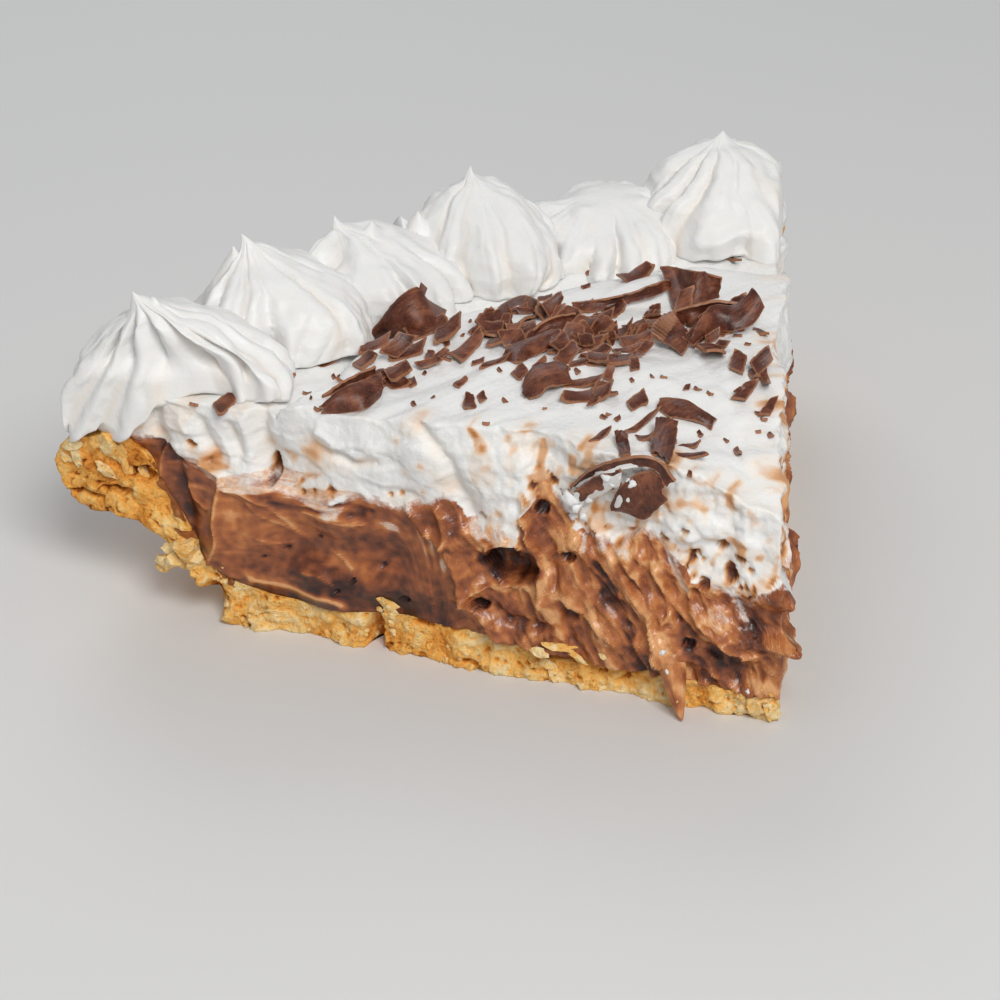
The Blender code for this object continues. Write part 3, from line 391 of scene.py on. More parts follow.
# What a knife left on the cut faces, in millimetres along the cut and up. The border parts filling
# and cream. Crests and grooves: line, half width, how far out or in, how much paler or darker.
# Pits: place, half width, half height, depth. Stains and whites: place, size, strength.
# Smears: line, half width, strength. Mixes, where both are marbled: place, half sizes, strength.
nearFace = {
    "border": [(-4, 31), (-0.5, 28.5), (1.6, 24.5), (4.3, 22), (5.8, 20.7), (7.9, 23), (12.5, 24.6),
               (14.6, 25.1), (17.4, 27), (19.5, 30.4), (22.8, 30.8), (24.1, 29.2), (27.8, 28), (30.3, 30.2),
               (33.3, 30.7), (36.1, 32.4), (38.3, 37.2), (40.7, 34.6), (42.3, 31), (43.4, 24.9),
               (46.1, 26.5), (50, 27.4), (51.5, 28.5), (54.4, 31.9), (62.2, 28.7), (64.9, 27.8),
               (67.2, 29.3), (70.8, 29.1), (75, 26.8), (77.2, 27.8), (81.2, 26.5), (86.9, 29.7),
               (94.5, 28), (99.1, 30.9), (102.5, 30.7), (108, 33.7), (130, 35)],
    "crests": [
        (((99.0, 30.7), (95.2, 29.6), (96.6, 22.1), (96.6, 17.9), (99.3, 11.2)), 0.55, 1.6, 1.7),
        (((105.9, 32.8), (107.8, 25.0), (109.6, 19.9)), 0.7, 1.3, 1.2),
        (((101.4, 25.9), (100.5, 23.6), (98.8, 22.9)), 0.5, 0.9, 1.0),
        (((94.9, 27.4), (90.5, 25.3), (86.2, 22.2), (81.9, 19.1)), 0.35, 0.5, 0.7),
        (((107.7, 24.7), (109.1, 19.6), (107.7, 18.5)), 0.8, 0.8, 0.4),
        (((91.5, 9.9), (87.3, 9.4), (82.8, 8.9), (78.2, 8.7), (74.7, 8.3)), 0.9, 0.7, 3.6),
        (((20.9, 19.3), (19.6, 13.2), (18.3, 6.6), (17.5, 2.5)), 0.9, 1.6, 0.8),
        (((94.2, 27.3), (87.9, 26), (81.5, 24.8), (76.7, 24.6), (70.2, 24.5)), 0.5, 0.5, 0.8),
        (((70.2, 24.5), (76, 26.8), (81.5, 25.7)), 0.5, 0.4, 0.7),
        (((94.5, 27.3), (86.5, 25.4), (82.6, 20.0)), 0.42, 0.4, 1.3),
        (((82.0, 13.3), (78.9, 13.1), (76.0, 11.5)), 0.42, 0.45, 1.3),
        (((81.2, 24.2), (76.2, 23.8), (71.9, 24.1)), 0.42, 0.4, 1.1),
        (((76.7, 17.6), (74.6, 16.6), (72.9, 15.0)), 0.42, 0.4, 1.2),
        (((88.9, 18.3), (85.7, 17.5), (83.9, 17.7)), 0.42, 0.35, 1.0),
        (((61.7, 28.8), (59.4, 25), (55.5, 23.7), (53.5, 18), (52.8, 13.7), (48.9, 10.6), (46.7, 7.4)),
         0.7, 1.9, 0.7),
        (((57, 29.7), (55.5, 26.1), (55.5, 23.7)), 0.6, 1.3, 0.6),
        (((57, 29.7), (54.8, 27.7), (54.7, 25.9), (55.8, 24)), 0.6, 1.0, 0.5),
        (((54.2, 26), (54, 21.3), (52.7, 15.5)), 0.7, 1.2, 0.4),
        (((49.4, 21.2), (48.3, 24.6), (45.3, 26.1), (41.8, 25.4), (39.8, 22.5), (40.6, 18.9), (43.6, 17.2),
          (46.9, 17.6), (49.4, 21.2)), 0.45, 1.9, 0.9),
        (((52.8, 13.7), (50.2, 16.1), (48.6, 16.9), (44.1, 17.2), (39.7, 16.5)), 0.7, 1.4, 0.5),
        (((41.9, 33.4), (42.3, 30.8), (41.7, 28.1), (40.5, 24.7), (39.6, 21.8), (39.3, 18.3), (38.9, 16.3)),
         0.8, 2.2, 0.8),
        (((38, 23.4), (36.2, 25.8), (34.9, 27), (32, 26.5), (30.4, 24.6)), 0.6, 1.2, 0.5),
        (((34, 27.9), (30.8, 26.8), (27.9, 24.2), (25.7, 20.1)), 0.6, 1.4, 0.6),
        (((30.7, 30.8), (27.5, 26.6), (24.3, 22), (22.1, 18.7), (21.1, 17.4), (19.6, 10), (20.5, 4.3)),
         0.7, 1.8, 0.7),
        (((19.9, 24.9), (17.4, 18.1), (18.6, 15.1)), 0.7, 1.3, 0.5),
        (((14.6, 23.8), (13.9, 18.8), (10.3, 15.3), (3.9, 11.7)), 0.7, 1.5, 0.6),
        (((12.5, 17.7), (5.7, 12.7), (-3.2, 13.1)), 0.7, 1.4, 0.6),
        (((26.1, 28.2), (22.9, 23.2), (20.4, 19)), 0.6, 1.2, 0.5),
        (((29.7, 17.3), (25.5, 14.3), (21.3, 9.4)), 0.7, 1.2, 0.5),
        (((36.4, 17.9), (31.4, 15.1), (26.4, 10.4)), 0.7, 1.3, 0.5),
        (((14.6, 10), (9.6, 7), (5.2, 3.4)), 0.9, 1.6, 0.4),
        (((5.2, 3.4), (0.3, 10.4), (-3.1, 13.1)), 0.9, 1.4, 0.4),
        (((77.6, 40), (74.7, 38.4), (71.3, 37.1), (67.6, 37.9)), 1.2, 1.2, 0.0),
        (((101.5, 39.5), (101, 37), (99, 34.0)), 1.3, 0.8, 0.0),
        (((96, 39), (95, 36), (93.5, 32.0)), 1.1, 0.8, 0.0),
        (((91, 40), (90.3, 37), (90, 33.5)), 1.1, 0.8, 0.0),
    ],
    "grooves": [
        (((103.4, 30.0), (102.6, 21.9), (101.7, 15.4)), 1.4, 1.0, 0.5),
        (((93.9, 23.8), (91.9, 17.4)), 3.2, 0.0, -0.9),
        (((87.5, 22.0), (81.9, 20.1)), 2.2, 0.0, -0.6),
        (((75.8, 16.4), (68.9, 12.9)), 1.6, 0.0, -0.7),
        (((82.5, 11.3), (71.6, 11.8), (59.3, 9.8)), 2.4, 0.0, 0.55),
        (((72.9, 20.8), (64.1, 18.5)), 2.0, 0.0, 0.5),
        (((86.5, 25.8), (81.2, 24.8), (75.1, 25.5), (70.4, 26.3)), 0.5, 0.5, 0.9),
        (((76.1, 26.5), (72.5, 27.1), (68.6, 27.0)), 0.4, 0.4, 0.8),
        (((87.6, 42.3), (88.0, 39.1), (87.7, 36.4), (87.2, 33.6), (86.7, 31.3)), 1.5, 2.6, 0.5),
        (((59.5, 44.7), (56.7, 41.3), (54.3, 38.7), (53.4, 34.6), (51.1, 28.2)), 1.2, 1.3, 0.0),
        (((78.5, 37.6), (74.7, 36.6), (71.3, 35.6), (67.6, 36.3)), 0.8, 0.9, 0.0),
        (((98.3, 39), (97.6, 36.5), (96.4, 33)), 0.9, 1.1, 0.4),
        (((93.2, 39), (92.4, 36), (91.8, 33)), 0.8, 0.9, 0.3),
        (((107.5, 41.5), (107, 38), (106, 33)), 1.6, 2.2, 1.0),
        (((37, 22), (36.6, 18.5), (34.4, 13.8)), 0.9, 1.4, 0.4),
        (((49.5, 13.5), (45, 11.2), (38, 10.5)), 1.0, 1.1, 0.3),
        (((25.5, 25), (21.5, 20), (19.6, 15)), 0.7, 1.1, 0.4),
        (((14.6, 8.9), (14.3, 6), (14, 3.6)), 1.1, 2.0, 0.7),
        (((11, 12), (6.5, 9.2), (2, 8)), 0.9, 1.2, 0.5),
    ],
    "pits": [
        (44.5, 21.3, 4.6, 3.6, 4.8), (39.3, 32.4, 1.2, 1.0, 1.8),
        (86.7, 30.7, 1.0, 1.7, 2.6), (9.5, 30.9, 0.9, 1.3, 2.0), (13.9, 29.1, 0.8, 0.6, 1.4),
        (15.2, 33.3, 0.8, 0.7, 1.2), (6.5, 29.2, 0.9, 0.7, 1.6), (19.0, 31.1, 0.7, 0.7, 1.0),
        (8.1, 26.1, 1.1, 1.5, 1.6), (12.3, 24.1, 0.9, 1.0, 1.4), (4.5, 27.0, 0.6, 0.5, 1.2),
        (100.5, 34.4, 0.9, 0.7, 1.0), (49.7, 29, 0.8, 0.6, 1.0), (42.4, 28.6, 0.7, 0.7, 1.0),
        (64, 10.5, 0.8, 0.6, 1.2), (72.5, 13, 0.5, 0.4, 0.8), (79, 20, 0.4, 0.4, 0.7),
        (34.7, 24.8, 1.1, 0.9, 1.6), (49.6, 13.4, 1.3, 0.9, 1.4), (14.4, 12.8, 0.8, 1.0, 1.6),
        (89.0, 14.8, 0.35, 0.3, 0.8), (84.6, 16.4, 0.4, 0.3, 0.8),
        (75.6, 10.4, 0.45, 0.35, 0.8), (67.5, 16.2, 0.4, 0.35, 0.8),
    ],
    "stains": [
        (82.7, 33.6, 1.6, 0.55), (84.4, 34.8, 1.0, 0.45), (79.0, 35.7, 1.5, 0.40), (96.4, 31.3, 2.4, 0.55),
        (50.0, 44.1, 0.9, 0.75), (50.8, 45.0, 0.7, 0.60), (48.9, 42.6, 1.0, 0.50), (63.5, 40.8, 0.9, 0.45),
        (58.8, 37.4, 1.0, 0.50), (62.0, 35.5, 0.9, 0.35), (9.8, 46.5, 1.4, 0.45), (7.9, 43.0, 1.2, 0.50),
        (13.0, 38.6, 2.0, 0.30), (8.0, 39.5, 2.4, 0.32), (5.6, 44.5, 1.6, 0.30), (18.0, 38.0, 2.0, 0.22),
    ],
    "smears": [
        (((39.1, 43.5), (39.6, 40.5), (39.3, 37.0)), 0.75, 0.62), (((39.3, 37.5), (39.2, 34.8)), 1.7, 0.62),
        (((33.8, 42.6), (33.9, 40.2)), 1.0, 0.60), (((30.8, 44.8), (31.4, 42.5), (32.6, 40.2)), 0.8, 0.55),
        (((50.5, 44.4), (49.8, 42.1)), 0.5, 0.55), (((23.4, 35.6), (23.8, 31.8)), 0.5, 0.60),
        (((10.6, 47.6), (9.6, 47.9), (9.2, 47.0)), 0.4, 0.55),
    ],
    "whites": [(16, 19.9, 1.0, 0.8), (18.7, 5.2, 0.7, 0.9), (3.2, 15.6, 0.8, 0.8), (2.5, 20.9, 1.2, 0.8),
               (9.8, 15.8, 1.6, 0.5), (24.4, 28.0, 1.2, 0.5), (7.5, 22.8, 1.2, 0.8), (33.9, 29.5, 1.0, 0.5),
               (36.0, 12.5, 1.0, 0.6), (29.5, 20.5, 0.8, 0.7), (13.0, 12.5, 1.0, 0.8)],
    "mixes": [(93.0, 29.3, 6.5, 2.6, 0.9), (78.5, 28.8, 6.5, 3.0, 0.9), (64.7, 24.5, 6.5, 1.5, 0.8),
              (58.3, 21.8, 3.6, 3.0, 0.8), (56.0, 18.8, 2.6, 1.6, 0.6), (46.5, 27.3, 3.4, 1.6, 0.8),
              (30.0, 27.5, 3.0, 2.0, 0.6), (40.0, 13.0, 3.0, 2.0, 0.7), (17.0, 26.0, 3.0, 3.0, 0.6),
              (8.0, 20.0, 2.6, 3.0, 0.6), (49.0, 11.0, 3.0, 2.0, 0.5)],
}


# The picture does not show the far cut, so marks of the same kinds are drawn for it by a rule.
def makeFarFace(seed):
    draw = random.Random(seed)
    border = [(s, 1000.0 * float(heightAt(fillingTop, s / 1000.0)) + 9.0 * bump(s, 16.0)
               + draw.uniform(-2.0, 2.4)) for s in range(-4, 131, 4)]
    crests, grooves = [], []
    for number in range(22):
        s, z = 6.0 + 4.5 * number + draw.uniform(-1.5, 1.5), draw.uniform(17.0, 28.0)
        lean, drop = draw.uniform(0.1, 0.8), draw.uniform(7.0, 13.0)
        line = tuple((s - lean * drop * t + draw.uniform(-0.6, 0.6), z - drop * t)
                     for t in (0.0, 0.35, 0.7, 1.0))
        if number % 3 < 2:
            crests.append((line, draw.uniform(0.6, 0.9), draw.uniform(0.9, 1.9), draw.uniform(0.4, 0.8)))
        else:
            grooves.append((line, draw.uniform(0.8, 1.2), draw.uniform(0.9, 1.8), draw.uniform(0.3, 0.6)))

    def spread(count, *limits):
        return [tuple(draw.uniform(*pair) for pair in limits) for number in range(count)]

    pits = spread(16, (6.0, 100.0), (11.0, 40.0), (0.6, 1.6), (0.5, 1.1), (0.9, 2.0))
    stains = spread(9, (5.0, 95.0), (33.0, 42.0), (1.2, 2.4), (0.3, 0.8))
    whites = spread(9, (5.0, 95.0), (12.0, 28.0), (0.8, 2.4), (0.4, 0.9))
    mixes = spread(7, (8.0, 95.0), (22.0, 29.0), (2.0, 5.0), (1.5, 3.0), (0.5, 0.9))
    smears = [(((ps, pz + 1.5), (ps + draw.uniform(-1.0, 1.0), pz - 1.5)), 0.6, 0.5)
              for ps, pz, _, _ in stains[:5]]
    return {"border": border, "crests": crests, "grooves": grooves, "pits": pits, "stains": stains,
            "smears": smears, "whites": whites, "mixes": mixes}


faces = {"near": nearFace, "far": makeFarFace(pie["seed"])}


def distanceTo(s, z, line):
    nearest = np.full(s.shape, 1e9)
    for (s0, z0), (s1, z1) in zip(line, line[1:]):
        ds, dz = s1 - s0, z1 - z0
        share = unit(((s - s0) * ds + (z - z0) * dz) / (ds * ds + dz * dz))
        nearest = np.minimum(nearest, np.hypot(s - s0 - share * ds, z - z0 - share * dz))
    return nearest


# Where the looks of the cut faces change, in millimetres: along a cut from the point, each over
# the length change, and behind a cut.
cutRules = {
    "level": 52.0,              # from here the streaks run nearly level
    "steep": 62.0,              # up to here the pudding is drawn up in steep folds
    "torn": 54.0,               # up to here the cream is torn
    "change": 14.0,
    "calm": 7.0,                # at the point itself all marks are weaker
    "blend": 4.0,               # the height over which the share of pudding goes from 1 to 0
    "reach": 16.0,              # no mark reaches deeper behind a cut,
    "fade": 5.0,                # and each fades over this length
    "skin": 4.0,                # the finish of a cut face ends this far behind it
    "seeds": {"near": 70, "far": 90},
}


# Where a spot lies along and across the streaks that a knife draws in soft pudding: they run
# nearly level away from the point and steeply close to it. Lengths along them are shortened.
def flowAt(s, z, seed):
    bendS = s + 1.8 * rough(s, z, 0.0, 8.0, seed)
    bendZ = z + 1.8 * rough(s, z, 5.0, 8.0, seed)
    share = smooth((s - cutRules["level"]) / cutRules["change"])
    u = bendS * 0.16 * share + (0.5 * bendS + 0.86 * bendZ) * 0.30 * (1.0 - share)
    v = (bendZ + 0.03 * bendS) * share + (0.86 * bendS - 0.5 * bendZ) * (1.0 - share)
    return u, v


def ridged(value):
    return 1.0 - 2.2 * np.sqrt(value * value + 0.004)


# Works out, for places on a cut face, how far out it stands (mm), its tone, how far it is pudding
# (over a half) or cream, how stained the cream is, how far both are marbled, how far the pudding
# is drawn into streaks, and where the place lies along and across them. Tone and stain also carry
# painted shade in sunken grooves, pits and holes.
def cutLook(s, z, cut):
    face = faces[cut]
    seed = cutRules["seeds"][cut]
    warpedS = s + 0.6 * rough(s, z, 1.0, 3.0, seed)
    warpedZ = z + 0.6 * rough(s, z, 2.0, 3.0, seed)
    u, v = flowAt(s, z, seed)
    steep = smooth((cutRules["steep"] - s) / cutRules["change"])
    borderS, borderZ = zip(*face["border"])
    above = z - np.interp(warpedS, borderS, borderZ) - 0.9 * rough(s, z, 0.0, 1.8, seed + 9)
    above = above - (0.6 + 1.6 * steep) * rough(s, z, 0.0, 5.0, seed + 10)
    above = above - 0.5 * rough(s, z, 0.0, 0.8, seed + 11)
    inside = smooth(0.5 - above / 0.9)
    cream = 1.0 - inside

    crest = ridged(rough(u * 0.6, v, 0.0, 2.4, seed + 1))
    fine = ridged(rough(u * 0.8, v, 0.0, 1.25, seed + 2))
    swirl = rough(u, v, 0.0, 5.0, seed + 3)
    small = rough(s, z, 0.0, 1.3, seed + 4)
    thin = ridged(rough(u * 1.4, v, 6.0, 0.85, seed + 6))
    dragged = (0.10 + 0.55 * steep) * crest + (0.06 + 0.34 * steep) * fine + (0.3 + 0.3 * steep) * swirl
    dragged = dragged + (0.06 + 0.16 * steep) * small + 0.28 * steep * thin
    milky = smooth(rough(u * 1.6, v, 3.0, 2.2, seed + 5) * 4.0 - 0.3)
    tone = (0.10 + 0.55 * steep) * unit(crest) ** 2 + (0.5 + 0.7 * steep) * swirl
    tone = tone + 0.34 * steep * (fine + thin) + 0.5 * small + (0.2 + 0.4 * steep) * milky
    tone = tone - 0.26 - 0.20 * steep
    tone = inside * tone * (1.15 + 0.1 * steep)

    torn = smooth((cutRules["torn"] - s) / cutRules["change"])
    laid = rough(s * 0.4 + z * 0.25, z - 0.15 * s, 0.0, 3.6, seed + 12)
    puff = 1.3 * rough(s, z, 0.0, 9.0, seed + 13) + 0.22 * np.tanh(laid * 22.0)
    laid = rough(s * 0.35 - z * 0.1, z + 0.1 * s, 4.0, 1.7, seed + 21)
    puff = puff + (0.09 + 0.08 * torn) * np.tanh(laid * 12.0)
    puff = puff + (0.14 + 0.12 * torn) * rough(s * 0.8, z, 0.0, 0.9, seed + 14)
    puff = puff + torn * (1.2 * np.abs(rough(s, z, 0.0, 4.4, seed + 17)) - 0.4)
    puff = puff + torn * 0.45 * np.abs(rough(s, z, 0.0, 1.7, seed + 18))
    out = inside * dragged + cream * puff
    stain = cream * np.clip(1.4 * rough(s, z, 0.0, 6.0, seed + 19) - 0.12, 0.0, 0.28)
    stain = stain + cream * torn * np.clip(1.2 * rough(s, z, 0.0, 2.0, seed + 22), 0.0, 0.38)
    nearBorder = bump(above - 1.4, 2.0 + 3.0 * torn) * smooth(0.5 + 2.2 * rough(s, z, 0.0, 8.0, seed + 16))
    # Small holes in the cream near the border sink in and are tinted dark: partly the pudding's brown, partly
    # painted shade in them.
    holes = smooth((rough(s, z, 0.0, 1.3, seed + 15) - 0.30) * 3.6) * nearBorder * cream
    holes = holes * (0.2 + 0.8 * smooth((88.0 - s) / 8.0))
    out = out - 0.8 * holes
    stain = stain + 0.8 * holes + 0.25 * nearBorder * cream
    mixed = 0.55 * bump(above + 0.6, 1.8) * smooth(0.4 + 2.0 * rough(s, z, 0.0, 7.0, seed + 20))

    for line, wide, tall, pale in face["crests"]:
        share = np.exp(-distanceTo(warpedS, warpedZ, line) / wide)
        out = out + tall * share
        tone = tone + pale * share ** 2
    # Where a groove sinks in, its darkening and the tint it gives the cream are painted shade in it; grooves
    # that stay flat only change the tone.
    for line, wide, deep, dark in face["grooves"]:
        share = bump(distanceTo(warpedS, warpedZ, line), wide)
        out = out - deep * share
        tone = tone - dark * share
        stain = stain + 0.16 * share * cream
    # Each pit sinks in, is darkened inside and tints the cream around it: painted shade in the hollow. A
    # paler ring lies round its rim.
    for ps, pz, wide, tall, deep in face["pits"]:
        away = np.hypot((warpedS - ps) / wide, (warpedZ - pz) / tall)
        share = smooth((1.16 - away) * 3.0)
        out = out - deep * share
        dark = min(0.4 + 0.4 * deep, 1.35)
        tone = tone - dark * smooth((1.30 - away) * 4.0) + 0.6 * bump(away - 1.38, 0.10)
        stain = stain + (0.25 + 0.25 * deep) * share * cream
    for ps, pz, size, much in face["stains"]:
        stain = stain + much * bump(np.hypot(warpedS - ps, warpedZ - pz), size)
    for line, wide, much in face["smears"]:
        stain = np.maximum(stain, much * smooth(1.5 - distanceTo(warpedS, warpedZ, line) / wide))
    for ps, pz, size, much in face["whites"]:
        above = above + 3.0 * much * bump(np.hypot(warpedS - ps, (warpedZ - pz) * 1.6), size)
    wisps = rough(u * 1.2, v, 7.0, 1.6, seed + 23)
    for ps, pz, wide, tall, much in face["mixes"]:
        share = smooth(1.1 - np.hypot((warpedS - ps) / wide, (warpedZ - pz) / tall) + 2.0 * wisps)
        mixed = mixed + much * share
        above = above + share * (np.clip(0.25 - 0.1 * above, -1.0, 1.0) - above * 0.8)
    mixed = unit(mixed)
    stain, tone = stain + 0.26 * mixed, tone + 1.0 * mixed
    pudding = unit(0.5 - above / cutRules["blend"])
    tone = tone - inside * (1.0 - steep) * 0.40 * smooth((19.0 - z) / 12.0)
    return {"out": out, "tone": tone, "pudding": pudding, "stain": stain, "mixed": mixed, "drawn": steep,
            "u": u, "v": v}


# Adds both cut faces' marks to a piece, and writes what its finish reads.
def dressCuts(piece, spots, inner):
    looks = {name: np.zeros(len(spots)) for name in ("tone", "pudding", "stain", "mixed", "drawn")}
    radius, _ = polar(spots)
    calm = smooth(radius * 1000.0 / cutRules["calm"])
    flow = spots * 1000.0
    moved = spots.copy()
    total, strongest = np.full(len(spots), 1e-9), np.zeros(len(spots))
    for cut in ("near", "far"):
        s, depth, z = onCut(spots, cut)
        close = np.flatnonzero(depth < cutRules["reach"])
        look = cutLook(s[close], z[close], cut)
        behind = positive(depth[close])
        push = mm * look["out"] * np.exp(-behind / cutRules["fade"]) * (0.35 + 0.65 * calm[close])
        moved[close, :2] += push[:, None] * cuts[cut]["out"]
        skin = smooth(1.6 - behind / cutRules["skin"])
        weight = skin * np.exp(-behind / 1.2) + 1e-6 * skin
        total[close] += weight
        strongest[close] = np.maximum(strongest[close], skin)
        flow[close] = np.where(weight[:, None] > 0.5 * total[close][:, None],
                               np.stack([look["u"], look["v"], behind - look["out"]], axis=-1), flow[close])
        for name, values in looks.items():
            values[close] += look[name] * weight
    for name, values in looks.items():
        start = inner if name == "pudding" else 0.0
        values[:] = start + (values / total - start) * strongest
    writeSpots(piece, moved)
    for name, values in looks.items():
        writeShare(piece, name, values if name == "tone" else unit(values))
    writeFlow(piece, flow)
    return moved


def writeFlow(piece, flow):
    layer = piece.data.attributes.new("flow", "FLOAT_VECTOR", "POINT")
    layer.data.foreach_set("vector", np.ascontiguousarray(flow, np.float32).ravel())


# The same for a piece of pudding that lies before a cut.
def dressPlain(piece, flow, tone):
    for name, value in (("tone", tone), ("pudding", 1.0), ("stain", 0.0), ("mixed", 0.0), ("drawn", 0.4)):
        writeShare(piece, name, np.broadcast_to(value, tone.shape))
    writeFlow(piece, flow)


def makeFilling():
    piece = toPiece(sliceGrid(pie["fillingRings"], pie["fillingRows"], 1.0), "pudding_filling")
    dressCuts(piece, fillingSpots(*gridShares(piece)), 1.0)
    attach(piece, "root")
    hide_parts("chocolate_filling")
    return piece


def makeCream():
    rings = pie["fillingRings"] + pie["borderRings"]
    piece = toPiece(sliceGrid(rings, pie["creamRows"], 0.0), "cream_layer")
    dressCuts(piece, creamSpots(*gridShares(piece)), 0.0)
    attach(piece, "root")
    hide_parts("whipped_cream")
    return piece


# Crust: crumbly all over. Broken places at the near cut: along, height, half width, half
# height and depth in millimetres. Under its rim the wall is sunk at the near cut, at a height and
# over a half height, fading behind the cut. Filling is smeared on its upper edge there.
crustLook = {
    "rings": 130, "rows": 8, "coarse": 0.0020, "fine": 0.0010, "pits": 0.0016,
    "crags": [(0.0011, 0.011), (0.0006, 0.005)],
    "sunk": {"height": 10.5, "tall": 6.0, "fade": 9.0, "from": 0.096, "deep": 2.6},
    "smear": {"from": 0.0935, "to": 0.1095, "under": 31.5},
    "breaks": [(69.5, 1.5, 1.3, 5.5, 5.0), (37.5, 6.2, 4.2, 1.3, 2.8), (99.6, 4.2, 2.8, 3.0, 3.2),
               (110.6, 26.6, 2.6, 0.8, 2.4), (115.5, 23.3, 2.8, 0.6, 2.0), (121.5, 21.0, 3.4, 0.6, 2.0),
               (36.5, 5.2, 4.0, 0.9, 2.6), (61.0, 6.6, 1.4, 0.8, 1.2),
               (24.0, 5.2, 2.0, 0.8, 1.2), (88.0, 1.2, 2.4, 1.0, 1.0), (52.0, 0.8, 1.8, 0.8, 1.0)],
}


# The seams between the crumbs of a packed pattern are 0, the crumbs themselves 1.
def crumbShare(spots, size, seed):
    near, second = crumbs(*spots.T, size, seed)
    return smooth((second - near) * 2.2)


def makeCrust():
    piece = toPiece(sliceGrid(crustLook["rings"], crustLook["rows"], 1.0), "baked_crust")
    ring, across, level = gridShares(piece)
    spots = crustSpots(ring, across, level)
    radius, angle = polar(spots)
    crumb = 0.35 * crumbShare(spots, crustLook["coarse"], 1)
    crumb = crumb + 0.35 * crumbShare(spots, crustLook["fine"], 2) + 0.40
    crumb = crumb + 1.1 * rough(*spots.T, 0.0028, 26) + 0.8 * rough(*spots.T, 0.0012, 27)
    lumps = rough(*spots.T, 0.006, 21)
    outerShare = smooth((radius - 0.088) / 0.012)
    moved = spots.copy()
    tone = 0.25 * (crumb - 0.9) + 0.9 * lumps
    _, behind, high = onCut(spots, "near")
    dip, wipe = crustLook["sunk"], crustLook["smear"]
    sunk = (1.0 - level) * bump(high - dip["height"], dip["tall"])
    sunk = sunk * np.exp(-positive(behind) / dip["fade"])
    sunk = sunk * smooth((radius - dip["from"]) / 0.004) * (dip["deep"] + 2.0 * lumps)
    smear = smooth((level - 0.82 + 0.4 * rough(*spots.T, 0.003, 24)) * 6.0)
    smear = smear * smooth((radius - wipe["from"]) / 0.002)
    smear = smear * smooth(1.5 - positive(behind)) * smooth((wipe["under"] - high) / 3.0)
    smear = smear * smooth((wipe["to"] - radius) / 0.002)
    pitted, _ = crumbs(*spots.T, crustLook["pits"], 5)
    pits = smooth((0.34 - pitted) * 8.0) * smooth(0.5 + 4.0 * rough(*spots.T, 0.004, 25))
    # The pits sink in and are darkened: painted shade in them.
    tone = tone - 0.8 * pits - 0.42 * smooth((radius - 0.101) / 0.010)
    for cut in ("near", "far"):
        s, depth, z = onCut(spots, cut)
        reach = np.exp(-positive(depth) / 3.0)
        out = 0.50 * (crumb - 0.95) + 0.8 * lumps - 0.55 * pits
        if cut == "near":
            warpS, warpZ = s + 1.2 * lumps, z + 1.2 * rough(*spots.T, 0.004, 23)
            # The broken places sink in and are darkened: painted shade in the hollows.
            for ps, pz, wide, tall, deep in crustLook["breaks"]:
                share = smooth(1.5 - np.hypot((warpS - ps) / wide, (warpZ - pz) / tall))
                out = out - deep * share
                tone = tone - 0.9 * share * reach
        moved[:, :2] += (mm * out * reach)[:, None] * cuts[cut]["out"]
    bearing = angle - half
    outward = np.stack([np.sin(bearing), np.cos(bearing)], axis=-1)
    push = mm * ((0.50 * (crumb - 0.9) + 0.8 * lumps) * outerShare - sunk)
    moved[:, :2] += (push * (1.0 - 0.6 * level))[:, None] * outward
    moved[:, 2] += mm * 0.5 * (crumb - 0.9) * outerShare * smooth((spots[:, 2] - 0.014) / 0.01)
    moved[:, 2] = np.where(spots[:, 2] < 0.0004, spots[:, 2], np.maximum(moved[:, 2], 0.0))
    writeSpots(piece, moved)
    writeShare(piece, "tone", tone)
    writeShare(piece, "smear", smear)
    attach(piece, "root")
    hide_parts("crust")
    return piece


print("crust, filling and cream")
crust = makeCrust()
filling = makeFilling()
cream = makeCream()


